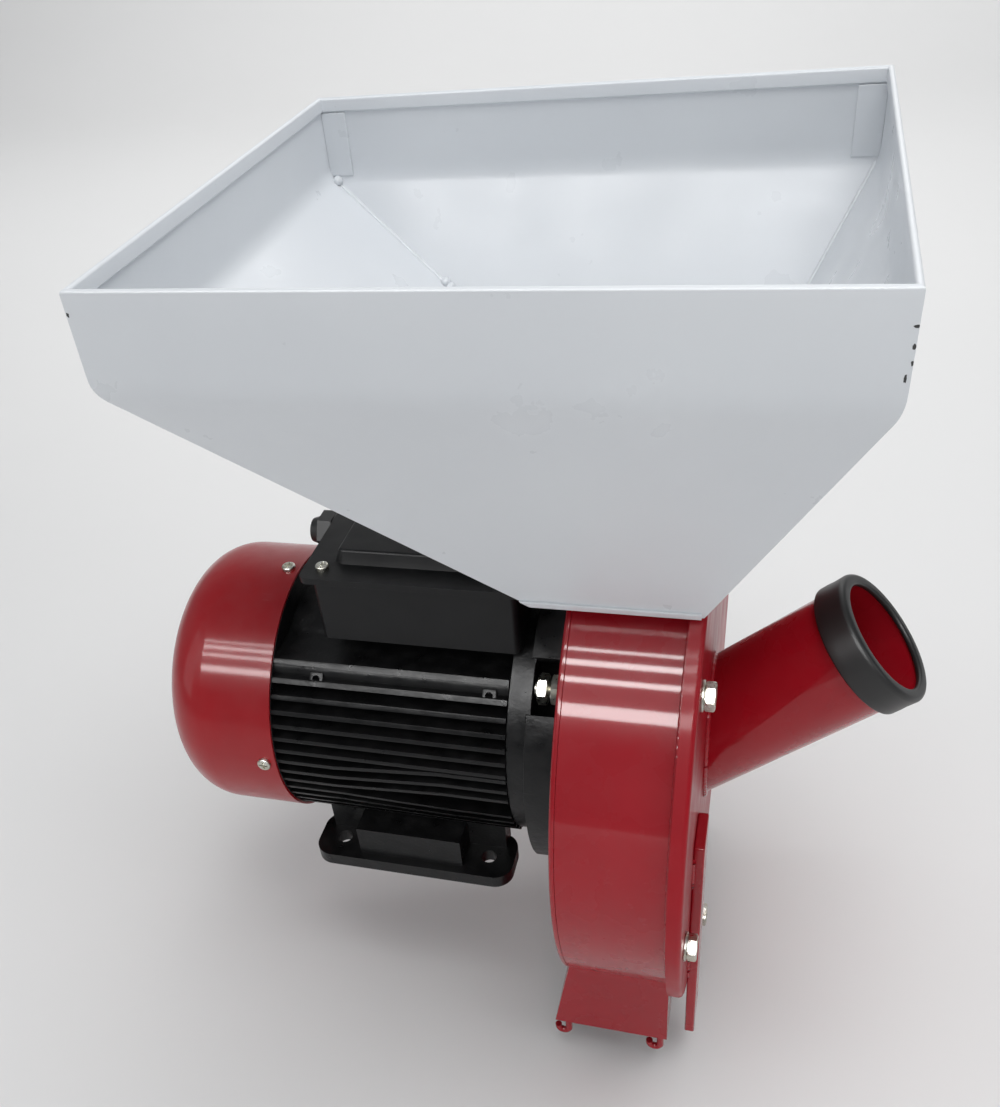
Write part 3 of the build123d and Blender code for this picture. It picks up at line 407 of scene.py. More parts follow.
CHIP_PRIMER = Finish(
    "bare_chip", (0.02, 0.02, 0.022), (0.05, 0.045, 0.04), drift=0.8, drift_scale=500.0, rough=(0.5, 0.8),
    relief=0.0001, grain_scale=2500.0,
)

SLOT_FINISH: dict[Slot, Finish] = {
    Slot.WHITE: WHITE_POWDER,
    Slot.RED: RED_ENAMEL,
    Slot.COWL: COWL_ENAMEL,
    Slot.MOTOR: MOTOR_ENAMEL,
    Slot.BOX: BOX_POWDER,
    Slot.ZINC: ZINC_PLATE,
    Slot.STEEL: MACHINED_STEEL,
    Slot.HAMMER: HAMMER_STEEL,
    Slot.CORE: CORE_STEEL,
    Slot.WINDING: WINDING_VARNISH,
    Slot.RUBBER: RUBBER,
    Slot.PLASTIC: BLACK_PLASTIC,
    Slot.CAPACITOR: CAPACITOR_SHELL,
}


# --------------------------------------------------------------------------------------------------
# the workshop: what every sub-assembly builds with
# --------------------------------------------------------------------------------------------------


@dataclass
class Workshop:
    """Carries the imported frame, and makes and dresses pieces.

    Args:
        handled: names of the CAD nodes that have been dressed or replaced.
    """

    frame: dict
    handled: set[str] = field(default_factory=set)

    def slot_of(self, node: str) -> Slot:
        """The record's material slot of a CAD node."""
        pairs = {entry["node"]: entry["material_slot"] for entry in self.frame["record"]["subparts"]}
        return Slot(pairs[node])

    def body_of(self, node: str) -> Body:
        """The body that a CAD node rides on."""
        return Body(self.frame["nodes"][node]["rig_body"])

    def dress(self, node: str, finish: Finish | None = None) -> None:
        """Give a CAD node that stays as it is a procedural finish.

        Args:
            node: the CAD node's name.
            finish: the finish, or None for the one of its slot.
        """
        obj = self.frame["nodes"][node]
        chosen = finish or SLOT_FINISH[self.slot_of(node)]
        obj.data.materials.clear()
        obj.data.materials.append(chosen.material())
        shade(obj, 32.0)
        self.handled.add(node)

    def soften(self, node: str, width: float, segments: int = 2) -> None:
        """Replace a CAD node by a copy whose sharp edges are rounded, as on a cast or pressed piece.

        Args:
            node: the CAD node's name.
            width: the rounding's width.
            segments: faces across the rounding.
        """
        source = self.frame["nodes"][node]
        slot = self.slot_of(node)
        copy = bpy.data.objects.new(f"{node}_shape", source.data.copy())
        bpy.context.scene.collection.objects.link(copy)
        work = bmesh.new()
        work.from_mesh(copy.data)
        bmesh.ops.remove_doubles(work, verts=work.verts, dist=1e-6)
        bmesh.ops.dissolve_limit(work, angle_limit=math.radians(0.6), verts=work.verts, edges=work.edges)
        work.to_mesh(copy.data)
        work.free()
        bevel = copy.modifiers.new("round_edges", "BEVEL")
        bevel.width = width
        bevel.segments = segments
        bevel.limit_method = "ANGLE"
        bevel.angle_limit = math.radians(34)
        bevel.use_clamp_overlap = True
        bevel.harden_normals = False
        self.settle(copy, slot, 40.0, node, self.body_of(node))

    def settle(
        self,
        obj: Piece,
        slot: Slot,
        angle: float,
        node: str | None = None,
        body: Body = Body.HOUSING,
        finish: Finish | None = None,
    ) -> None:
        """Finish a new piece: its material from its slot's finish, its shading and its body, and hide the CAD
        node that it replaces, if any.

        Args:
            obj: the new piece.
            slot: the record's slot that it takes its finish from.
            angle: edges sharper than this many degrees stay sharp.
            node: the CAD node that it replaces, if any.
            body: the body that it rides on.
            finish: the finish, or None for the slot's own.
        """
        obj.data.materials.clear()
        obj.data.materials.append((finish or SLOT_FINISH[slot]).material())
        shade(obj, angle)
        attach(obj, body.value)
        if node is not None:
            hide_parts(node)
            self.handled.add(node)
        log.info("piece %s on %s, %d faces", obj.name, body.value, len(obj.data.polygons))


def shade(obj: Piece, angle: float) -> None:
    """Shade smooth, keeping edges sharp above an angle.

    Args:
        obj: the mesh object.
        angle: the angle in degrees.
    """
    mesh = obj.data
    mesh.shade_smooth()
    mesh.set_sharp_from_angle(angle=math.radians(angle))


def new_mesh(name: str, verts: list[Vector], faces: list[Face]) -> Piece:
    """Make a linked mesh object with outward faces.

    Args:
        name: the object's name.
        verts: its points.
        faces: its faces as tuples of point numbers.

    Returns:
        The new object.
    """
    mesh = bpy.data.meshes.new(name)
    mesh.from_pydata([tuple(v) for v in verts], [], faces)
    work = bmesh.new()
    work.from_mesh(mesh)
    bmesh.ops.recalc_face_normals(work, faces=work.faces)
    work.to_mesh(mesh)
    work.free()
    obj = bpy.data.objects.new(name, mesh)
    bpy.context.scene.collection.objects.link(obj)
    return obj


def axes_for(direction: Vector) -> Matrix:
    """A rotation whose local Z lies along a direction."""
    return direction.normalized().to_track_quat("Z", "Y").to_matrix()


def on_ring(turn: Matrix, radius: float, angle: float, height: float) -> Vector:
    """A point at a radius, angle and height in a turned frame."""
    return turn @ Vector((radius * math.cos(angle), radius * math.sin(angle), height))


def round_shaft(x: float, radius: float, angle: float) -> Vector:
    """A point at a distance along the shaft, and at a radius and angle round it."""
    return Vector((x, radius * math.cos(angle), SHAFT_Z + radius * math.sin(angle)))


def strips(rings: int, sides: int, closed: bool = False) -> list[Face]:
    """Faces that join rings of points, each ring to the next.

    Args:
        rings: how many rings.
        sides: points in each ring.
        closed: whether the last ring joins the first.

    Returns:
        The four-sided faces.
    """
    faces: list[Face] = []
    for ring in range(rings if closed else rings - 1):
        low, high = ring * sides, (ring + 1) % rings * sides
        for k in range(sides):
            n = (k + 1) % sides
            faces.append((low + k, low + n, high + n, high + k))
    return faces


def caps(rings: int, sides: int) -> list[Face]:
    """The faces that close the first and the last ring."""
    return [tuple(range(sides)), tuple(range((rings - 1) * sides, rings * sides))]


def lathe(
    name: str, profile: list[tuple[float, float]], centre: Vector, direction: Vector, steps: int = 96
) -> Piece:
    """Turn a closed profile round an axis.

    Args:
        name: the object's name.
        profile: (radius, height along the axis) of each point, in order round the profile.
        centre: the axis's origin.
        direction: the axis's direction.
        steps: faces round the axis.

    Returns:
        The new object.
    """
    turn = axes_for(direction)
    verts = [
        centre + on_ring(turn, radius, math.tau * step / steps, height)
        for step in range(steps)
        for radius, height in profile
    ]
    return new_mesh(name, verts, strips(steps, len(profile), closed=True))


def bead(
    name: str, path: list[Vector], radius: float, pitch: float, seed: int, ripple: float = 0.22
) -> Piece:
    """A weld bead: a tube along a path that swells and shrinks with each puddle of metal.

    Args:
        name: the object's name.
        path: its points.
        radius: its mean radius.
        pitch: length of one puddle.
        seed: for the unevenness.
        ripple: how far the radius swells, as a share.

    Returns:
        The new object.
    """
    rng = random.Random(seed)
    points: list[Vector] = []
    for a, b in zip(path[:-1], path[1:]):
        parts = max(1, round((b - a).length / (pitch / 4)))
        points += [a.lerp(b, k / parts) for k in range(parts)]
    points.append(path[-1])
    sides = 8
    verts: list[Vector] = []
    for i, point in enumerate(points):
        ahead = points[min(i + 1, len(points) - 1)] - points[max(i - 1, 0)]
        turn = axes_for(ahead)
        size = radius * (1 + ripple * abs(math.sin(math.pi * i / 4)) + rng.uniform(-0.06, 0.06))
        if i in (0, len(points) - 1):
            size *= 0.5
        verts += [point + on_ring(turn, size, math.tau * k / sides, 0) for k in range(sides)]
    return new_mesh(name, verts, strips(len(points), sides) + caps(len(points), sides))


def join(objects: list[Piece], name: str) -> Piece:
    """Join several new mesh objects into one piece.

    Args:
        objects: what to join.
        name: the joined object's name.

    Returns:
        The joined object.
    """
    work = bmesh.new()
    for obj in objects:
        part = obj.data
        part.transform(obj.matrix_world)
        work.from_mesh(part)
    mesh = bpy.data.meshes.new(name)
    work.to_mesh(mesh)
    work.free()
    for obj in objects:
        bpy.data.objects.remove(obj)
    joined = bpy.data.objects.new(name, mesh)
    bpy.context.scene.collection.objects.link(joined)
    return joined


def arc(
    radius: float, height: float, fillet: float, start: float, steps: int = 5
) -> list[tuple[float, float]]:
    """Points of a quarter circle for a lathe profile.

    Args:
        radius: radius of the fillet's centre from the axis.
        height: height of the fillet's centre.
        fillet: the fillet's own radius.
        start: angle of its first point, in degrees, counted from outward towards up.
        steps: segments.

    Returns:
        The points.
    """
    turns = [math.radians(start + 90 * k / steps) for k in range(steps + 1)]
    return [(radius + fillet * math.cos(turn), height + fillet * math.sin(turn)) for turn in turns]


def hex_piece(
    name: str, seat: Vector, direction: Vector, across: float, height: float, bore: float, spin: float
) -> Piece:
    """A hexagon nut or bolt head with its two chamfered ends.

    Args:
        name: the object's name.
        seat: centre of its seat.
        direction: from the seat through the hexagon.
        across: size across flats.
        height: height along the direction.
        bore: radius of the bore, or 0 for a bolt head.
        spin: turn about the direction, in radians.

    Returns:
        The new object.
    """
    turn = axes_for(direction)
    corner = across / math.sqrt(3)
    face_share, bevel_slope = 0.97, 2.2
    steps = 48
    heights = (0.0, 0.06, 0.14, 0.5, 0.84, 0.93, 1.0)
    verts: list[Vector] = []
    for h in heights:
        edge = min(h, 1 - h) * height
        limit = across / 2 * face_share + edge * bevel_slope
        for k in range(steps):
            angle = math.tau * k / steps
            local = (angle + math.pi / 6) % (math.pi / 3) - math.pi / 6
            radius = min(across / 2 / math.cos(local), limit, corner)
            verts.append(seat + on_ring(turn, radius, angle + spin, h * height))
    if bore <= 0:
        return new_mesh(name, verts, strips(len(heights), steps) + caps(len(heights), steps))
    for level in (height, 0.0):
        verts += [seat + on_ring(turn, bore, math.tau * k / steps + spin, level) for k in range(steps)]
    return new_mesh(name, verts, strips(len(heights) + 2, steps, closed=True))


def drilled_lug(
    name: str, seat: Vector, outward: Vector, side: float, height: float, bore: float, depth: float
) -> Piece:
    """A small square casting with rounded corners and a blind hole in its face.

    Args:
        name: the object's name.
        seat: centre of its foot, which stands a little inside what carries it.
        outward: from the foot to the face.
        side: its width.
        height: its height over the foot.
        bore: radius of the hole.
        depth: depth of the hole.

    Returns:
        The new object.
    """
    steps = 40
    turn = axes_for(outward)
    half = side / 2
    sunk, chamfer, break_edge = 0.004, 0.0010, 0.0003
    levels = (
        (True, half, -sunk),
        (True, half, height - chamfer),
        (True, half - break_edge, height - break_edge),
        (True, half - chamfer, height),
        (False, bore + break_edge, height),
        (False, bore, height - break_edge),
        (False, bore, height - depth),
    )
    verts: list[Vector] = []
    for square, reach, level in levels:
        for k in range(steps):
            angle = math.tau * k / steps
            spread = 1.0
            if square:
                spread = (abs(math.cos(angle)) ** 7 + abs(math.sin(angle)) ** 7) ** (-1 / 7)
            verts.append(seat + on_ring(turn, reach * spread, angle, level))
    return new_mesh(name, verts, strips(len(levels), steps) + caps(len(levels), steps))


def thread(
    name: str, start: Vector, direction: Vector, length: float, radius: float, pitch: float
) -> Piece:
    """A threaded rod with chamfered ends, its ridges cut round it.

    Args:
        name: the object's name.
        start: centre of its first end.
        direction: along the rod.
        length: its length.
        radius: its outer radius.
        pitch: distance between ridges.

    Returns:
        The new object.
    """
    axis, root = 0.0002, radius - pitch * 0.55
    profile = [(axis, 0.0), (root, 0.0)]
    for k in range(int((length - pitch) / pitch)):
        base = pitch * 0.5 + k * pitch
        profile += [(root, base), (radius, base + pitch * 0.42), (radius, base + pitch * 0.58)]
    profile += [(root, length - pitch * 0.4), (root, length), (axis, length)]
    return lathe(name, profile, start, direction, 40)


# --------------------------------------------------------------------------------------------------
# sub-assemblies
# --------------------------------------------------------------------------------------------------


@dataclass
class Hopper:
    """The sheet hopper: four folded panels, their hem, seams, weld spots and paint chips.

    Args:
        shop: where pieces are made.
        left: x of the rim on the motor's side.
        right: x of the rim on the cover's side.
        half_depth: half the rim's depth, front to rear.
        throat_left: x of the throat on the motor's side.
        throat_right: x of the throat on the cover's side.
        throat_half: half the throat's depth.
        skirt_z: height of the sheet's lower edge.
        knee_z: height where the slope turns upright.
        rim_z: height of the rim.
        wall: sheet thickness.
        hem: thickness of the folded hem.
        hem_height: its height.
        knee_bend: length of the rounded knee on either side.
    """

    shop: Workshop
    left: float = -0.075
    right: float = 0.247
    half_depth: float = 0.150
    throat_left: float = 0.095
    throat_right: float = 0.180
    throat_half: float = 0.096
    skirt_z: float = 0.236
    knee_z: float = 0.372
    rim_z: float = 0.417
    wall: float = 0.0015
    hem: float = 0.0030
    hem_height: float = 0.008
    knee_bend: float = 0.007

    def corner(self, x_side: int, y_side: int, inset: float) -> tuple[Vector, Vector, Vector]:
        """The three corners of one vertical edge of the sheet, moved in by an inset.

        Args:
            x_side: -1 for the motor's side, 1 for the cover's side.
            y_side: -1 for the front, 1 for the rear.
            inset: how far inside the outer surface.

        Returns:
            The throat, knee and rim points.
        """
        low_x = self.throat_left if x_side < 0 else self.throat_right
        high_x = self.left if x_side < 0 else self.right
        low = Vector((low_x - x_side * inset, y_side * (self.throat_half - inset), self.skirt_z))
        knee = Vector((high_x - x_side * inset, y_side * (self.half_depth - inset), self.knee_z))
        rim = Vector((knee.x, knee.y, self.rim_z))
        return low, knee, rim

    def edge_line(self, x_side: int, y_side: int, inset: float, top: float) -> list[Vector]:
        """Points up one corner with a rounded knee.

        Args:
            x_side: which end.
            y_side: front or rear.
            inset: how far inside the outer surface.
            top: height of the last point.

        Returns:
            The points from the skirt up.
        """
        low, knee, _ = self.corner(x_side, y_side, inset)
        down = knee + (low - knee).normalized() * self.knee_bend
        up = knee + Vector((0, 0, self.knee_bend))
        points = [low, low.lerp(down, 0.25), low.lerp(down, 0.5), low.lerp(down, 0.75), down]
        for k in range(1, 6):
            t = k / 6
            points.append(down * (1 - t) ** 2 + knee * 2 * t * (1 - t) + up * t**2)
        points.append(up)
        points.append(Vector((knee.x, knee.y, top)))
        return points

    def section(self, x_side: int, y_side: int) -> list[Vector]:
        """The closed outline of the sheet at one corner: outside up, over the hem, inside down.

        Args:
            x_side: which end.
            y_side: front or rear.

        Returns:
            The outline's points.
        """
        roll = self.hem / 2
        outer = self.edge_line(x_side, y_side, 0.0, self.rim_z - roll)
        over: list[Vector] = []
        for k in range(1, 8):
            angle = math.pi * k / 8
            _, knee, _ = self.corner(x_side, y_side, roll * (1 - math.cos(angle)))
            over.append(Vector((knee.x, knee.y, self.rim_z - roll + roll * math.sin(angle))))
        _, hem_line, _ = self.corner(x_side, y_side, self.hem)
        fold = [
            Vector((hem_line.x, hem_line.y, self.rim_z - roll)),
            Vector((hem_line.x, hem_line.y, self.rim_z - self.hem_height + 0.0006)),
        ]
        _, step, _ = self.corner(x_side, y_side, (self.hem + self.wall) / 2)
        fold.append(Vector((step.x, step.y, self.rim_z - self.hem_height)))
        inner = self.edge_line(x_side, y_side, self.wall, self.rim_z - self.hem_height)
        return outer + over + fold + inner[::-1]

    def panel(self, name: str, first: tuple[int, int], second: tuple[int, int], seed: int) -> Piece:
        """One folded panel between two corners, its sheet very slightly uneven.

        Args:
            name: the CAD node that it stands for.
            first: x and y side of its first corner.
            second: x and y side of its second corner.
            seed: for the unevenness.

        Returns:
            The new object.
        """
        rng = random.Random(seed)
        a, b = self.section(*first), self.section(*second)
        columns = 28
        dent = 0.00016
        waves = [(rng.uniform(0.6, 2.6), rng.uniform(0, math.tau), rng.uniform(0.4, 1.0)) for _ in range(4)]
        along_x = first[1] == second[1]
        verts: list[Vector] = []
        count = len(a)
        for column in range(columns + 1):
            share = column / columns
            fade = math.sin(math.pi * share)
            swell = sum(h * math.sin(math.tau * f * share + p) for f, p, h in waves) * dent * fade
            for k in range(count):
                point = a[k].lerp(b[k], share)
                lean = math.sin(math.pi * (point.z - self.skirt_z) / (self.rim_z - self.skirt_z))
                shift = -abs(swell) * lean
                if along_x:
                    point.y += shift * first[1]
                else:
                    point.x += shift * first[0]
                verts.append(point)
        return new_mesh(f"{name}_shape", verts, strips(columns + 1, count) + caps(columns + 1, count))

    def drum_room(self) -> Piece:
        """A short cylinder round the drum's front, which the sheet clears.

        Returns:
            The cylinder, for cutting.
        """
        radius, start_x, length = 0.172, 0.1723, 0.06
        profile = [(0.0001, 0.0), (radius, 0.0), (radius, length), (0.0001, length)]
        return lathe("drum_room", profile, Vector((start_x, 0, SHAFT_Z)), ALONG_SHAFT, 128)

    def slot_room(self) -> Piece:
        """A box as large as the feed gate's slot in the rear sheet.

        Returns:
            The box, for cutting.
        """
        corners = [Vector((x, y, z)) for z in (0.252, 0.260) for y in (0.09, 0.14) for x in (0.119, 0.170)]
        sides = [(0, 1, 3, 2), (4, 5, 7, 6), (0, 1, 5, 4), (2, 3, 7, 6), (0, 2, 6, 4), (1, 3, 7, 5)]
        return new_mesh("slot_room", corners, sides)

    def cut(self, obj: Piece, tool: Piece) -> None:
        """Cut a tool out of a panel and remove the tool.

        Args:
            obj: the panel.
            tool: the closed mesh to cut out.
        """
        modifier = obj.modifiers.new("cut", "BOOLEAN")
        modifier.operation = "DIFFERENCE"
        modifier.object = tool
        modifier.solver = "EXACT"
        graph = bpy.context.evaluated_depsgraph_get()
        cut_mesh = bpy.data.meshes.new_from_object(obj.evaluated_get(graph))
        obj.modifiers.clear()
        obj.data = cut_mesh
        bpy.data.objects.remove(tool)

    def build(self) -> None:
        """Build the panels, hem gaps, seams, weld spots, tabs and chips."""
        plan = {
            "hopper_front_panel": ((-1, -1), (1, -1)),
            "hopper_rear_panel": ((-1, 1), (1, 1)),
            "hopper_left_panel": ((-1, -1), (-1, 1)),
            "hopper_right_panel": ((1, -1), (1, 1)),
        }
        for seed, (name, (first, second)) in enumerate(plan.items()):
            obj = self.panel(name, first, second, seed + 3)
            if name != "hopper_left_panel":
                self.cut(obj, self.drum_room())
            if name == "hopper_rear_panel":
                self.cut(obj, self.slot_room())
            self.shop.settle(obj, Slot.WHITE, 28.0, name)
        for node in ("hopper_floor", "gate_guides", "hopper_corner_tabs"):
            self.shop.soften(node, 0.00035)
        self.seams()
        self.skirt_hem()
        self.chips()

    def skirt_hem(self) -> None:
        """Fold the lower edge of the front sheet up into a narrow bright hem."""
        outline = (
            (0.0, 0.0), (0.0006, -0.0007), (0.0014, -0.0006), (0.0018, 0.0),
            (0.0018, 0.0032), (0.0013, 0.0038), (0.0, 0.0038),
        )
        slope_height = self.knee_z - self.skirt_z
        lean = (self.half_depth - self.throat_half) / slope_height
        spread = (self.throat_left - self.left) / slope_height
        verts: list[Vector] = []
        for x, side in ((self.throat_left + 0.0008, -1), (self.throat_right - 0.0012, 0)):
            for out, up in outline:
                y = -self.throat_half - out - lean * up + 0.0002
                verts.append(Vector((x + side * spread * up, y, self.skirt_z + up)))
        hem = new_mesh("hopper_skirt_hem", verts, strips(2, len(outline)) + caps(2, len(outline)))
        self.shop.settle(hem, Slot.WHITE, 40.0)

    def seams(self) -> None:
        """Weld the sloping corners from inside, with one blob where the bead stopped."""
        beads = []
        for index, (x_side, y_side) in enumerate(((-1, -1), (-1, 1), (1, -1), (1, 1))):
            low, knee, _ = self.corner(x_side, y_side, self.wall + 0.0002)
            start = low.lerp(knee, 0.24)
            end = low.lerp(knee, 0.985)
            path = [start, start.lerp(end, 0.5), end]
            beads.append(bead(f"seam_{index}", path, radius=0.0011, pitch=0.004, seed=20 + index, ripple=0.12))
        self.shop.settle(join(beads, "hopper_corner_seams"), Slot.WHITE, 60.0)
        spots = []
        rng = random.Random(5)
        profile = ((0.00005, 0.0024), (0.0016, 0.002), (0.0026, 0.001), (0.003, -0.0003), (0.00005, -0.0006))
        low, knee, _ = self.corner(-1, 1, self.wall)
        for k, share in enumerate((0.55, 0.57, 0.98)):
            spot = low.lerp(knee, share) + Vector((0.0015, -0.0015, 0.001))
            size = rng.uniform(0.7, 1.1)
            scaled = [(r * size, h * size) for r, h in profile]
            spots.append(lathe(f"blob_{k}", scaled, spot, Vector((0.5, -0.6, 0.8)), 20))
        self.shop.settle(join(spots, "hopper_weld_spots"), Slot.WHITE, 60.0)

    def chips(self) -> None:
        """A few paint chips near the front rim's corners, thin enough to lie in the paint."""
        rng = random.Random(11)
        places = (
            (0.2462, 0.4035, 0.0012, 0.0006),
            (0.2464, 0.3965, 0.0007, 0.0012),
            (0.2466, 0.3905, 0.0005, 0.0010),
            (0.2452, 0.3850, 0.0006, 0.0018),
            (-0.0742, 0.4068, 0.0007, 0.0012),
        )
        sides = 11
        front_y, thickness, last_x = -self.half_depth - 0.00004, 0.00012, self.right - 0.00005
        verts: list[Vector] = []
        faces: list[Face] = []
        for x, z, width, height in places:
            base = len(verts)
            faces += [tuple(base + point for point in face) for face in strips(2, sides) + caps(2, sides)]
            for depth in (0.0, thickness):
                for k in range(sides):
                    angle = math.tau * k / sides
                    size = rng.uniform(0.65, 1.15)
                    reach_x = min(x + width * size * math.cos(angle), last_x)
                    verts.append(Vector((reach_x, front_y + depth, z + height * size * math.sin(angle))))
        chips = new_mesh("hopper_paint_chips", verts, faces)
        self.shop.settle(chips, Slot.WHITE, 30.0, finish=CHIP_PRIMER)


@dataclass
class Drum:
    """The round milling drum: shell, cover, outlet, welds and cover bolts.

    Args:
        shop: where pieces are made.
        radius: outer radius of the shell.
        back_x: x of the shell's rear edge.
        ring_x: x of the weld round the rim ring.
        face_x: x of the cover's outer face.
        bolt_circle: radius of the circle of cover bolts.
        bolt_count: how many cover bolts.
        bolt_start: angle of the first, in degrees.
        chute_half: half the outlet's width.
        bar_y: middle of the flat bar on the cover.
        bar_half: half its width.
    """

    shop: Workshop
    radius: float = 0.164
    back_x: float = 0.112
    ring_x: float = 0.1729
    face_x: float = 0.1813
    bolt_circle: float = 0.152
    bolt_count: int = 6
    bolt_start: float = 135.0
    chute_half: float = 0.115
    bar_y: float = -0.092
    bar_half: float = 0.014

    def build(self) -> None:
        """Dress the drum's sheets, then add its bolts, washers and weld beads."""
        for node, width in (
            ("drum_shell", 0.0005),
            ("drum_rim_ring", 0.0006),
            ("drum_back_plate", 0.0006),
            ("outlet_chute", 0.0006),
            ("inlet_neck", 0.0004),
            ("cover_bar", 0.0009),
            ("cover_lugs", 0.0005),
            ("screen_rails", 0.0004),
        ):
            self.shop.soften(node, width)
        self.shop.dress("drum_cover", COVER_ENAMEL)
        self.shop.dress("bag_hooks")
        self.shop.dress("screen")
        self.shop.soften("feed_gate", 0.0004)
        self.bolts()
        self.welds()

    def bolts(self) -> None:
        """Six cover bolts with chamfered heads, each on a washer with rounded edges."""
        heads = []
        washers = []
        rim, bore, thick, edge = 0.0080, 0.0042, 0.0015, 0.0003
        profile = [
            (bore, 0.0),
            *arc(rim - edge, edge, edge, -90, 3),
            *arc(rim - edge, thick - edge, edge, 0, 3),
            (bore, thick),
        ]
        for k in range(self.bolt_count):
            angle = math.radians(self.bolt_start + 360 / self.bolt_count * k)
            spot = round_shaft(self.face_x, self.bolt_circle, angle)
            washers.append(lathe(f"washer_{k}", profile, spot, ALONG_SHAFT, 48))
            seat = spot + ALONG_SHAFT * thick
            tip = seat - ALONG_SHAFT * 0.016
            turn = 0.3 + 0.9 * k
            heads.append(
                hex_piece(f"head_{k}", seat, ALONG_SHAFT, across=0.013, height=0.0055, bore=0.0, spin=turn)
            )
            heads.append(
                thread(f"shank_{k}", tip, ALONG_SHAFT, length=0.0158, radius=0.00398, pitch=0.00125)
            )
        self.shop.settle(join(heads, "cover_bolt_set"), Slot.ZINC, 30.0, "cover_bolts")
        self.shop.settle(join(washers, "cover_washer_set"), Slot.ZINC, 30.0, "cover_washers")

    def welds(self) -> None:
        """Painted weld beads round the rim ring, along the outlet and down the flat bar."""
        thin, thin_puddle = 0.0009, 0.0045
        thick, thick_puddle = 0.0013, 0.004
        beads = []
        gap = math.radians(16.5)
        points = []
        for k in range(121):
            angle = math.pi / 2 + gap + (math.tau - 2 * gap) * k / 120
            spot = round_shaft(self.ring_x, self.radius, angle)
            if spot.z < -0.02 and abs(spot.y) < self.chute_half + 0.002:
                if len(points) > 2:
                    beads.append(bead(f"rim_bead_{k}", points, thin, thin_puddle, k))
                points = []
                continue
            points.append(spot)
        if len(points) > 2:
            beads.append(bead("rim_bead_end", points, thin, thin_puddle, 77))
        top_z = SHAFT_Z - math.sqrt(self.radius**2 - self.chute_half**2)
        for side in (-1, 1):
            y = side * (self.chute_half + 0.0002)
            path = [Vector((self.back_x + 0.001, y, top_z)), Vector((0.1705, y, top_z))]
            beads.append(bead(f"chute_bead_{side}", path, thick, thick_puddle, 40 + side))
        for side in (-1, 1):
            y = self.bar_y + side * self.bar_half
            for seed, low, high in ((50, 0.05, 0.075), (55, -0.035, -0.012)):
                path = [Vector((self.face_x, y, low)), Vector((self.face_x, y, high))]
                beads.append(bead(f"bar_bead_{seed + side}", path, thick, thick_puddle, seed + side))
        self.shop.settle(join(beads, "drum_weld_beads"), Slot.RED, 60.0)


@dataclass
class FeedPipe:
    """The slanted cob pipe with its rubber end ring and the weld round its foot.

    Args:
        shop: where pieces are made.
        radius: outer radius of the pipe.
        bore: its inner radius.
        rise: its slope, in degrees.
        length: its length along its axis.
        foot: where its axis meets the cover.
    """

    shop: Workshop
    radius: float = 0.0355
    bore: float = 0.0335
    rise: float = 41.0
    length: float = 0.116
    foot: Vector = field(default_factory=lambda: Vector((0.1813, -0.014, 0.093)))

    def direction(self) -> Vector:
        """Unit vector up along the pipe."""
        return Vector((math.cos(math.radians(self.rise)), 0, math.sin(math.radians(self.rise))))

    def build(self) -> None:
        """Dress the pipe, turn the rubber ring and lay the weld."""
        self.shop.dress("feed_pipe")
        along = self.direction()
        centre = self.foot + along * (self.length - 0.015)
        outer = self.radius + 0.0035
        profile = [
            (self.radius + 0.0001, 0.0),
            *arc(outer - 0.0012, 0.0012, 0.0012, -90, 5),
            (outer, 0.006),
            (outer - 0.0002, 0.0095),
            *arc(outer - 0.0030, 0.0155, 0.0030, 0, 8),
            *arc(self.bore - 0.0003, 0.0170, 0.0015, 90, 5),
            *arc(self.bore - 0.0006, 0.0162, 0.0012, 180, 3),
            (self.bore + 0.0001, 0.0151),
            (self.radius + 0.0001, 0.0151),
        ]
        ring = lathe("pipe_rubber_ring", profile, centre, along, 128)
        self.shop.settle(ring, Slot.RUBBER, 50.0, "pipe_end_ring")
        stretch = 1 / math.sin(math.radians(90 - self.rise))
        reach = self.radius + 0.0003
        path = []
        for k in range(97):
            angle = math.tau * k / 96
            y = self.foot.y + reach * math.cos(angle)
            z = self.foot.z + reach * stretch * math.sin(angle)
            path.append(Vector((self.face_x(), y, z)))
        weld = bead("pipe_foot_weld", path, radius=0.0017, pitch=0.004, seed=90, ripple=0.18)
        self.shop.settle(weld, Slot.RED, 60.0)

    def face_x(self) -> float:
        """Where the weld lies, just outside the cover."""
        return self.foot.x + 0.0004


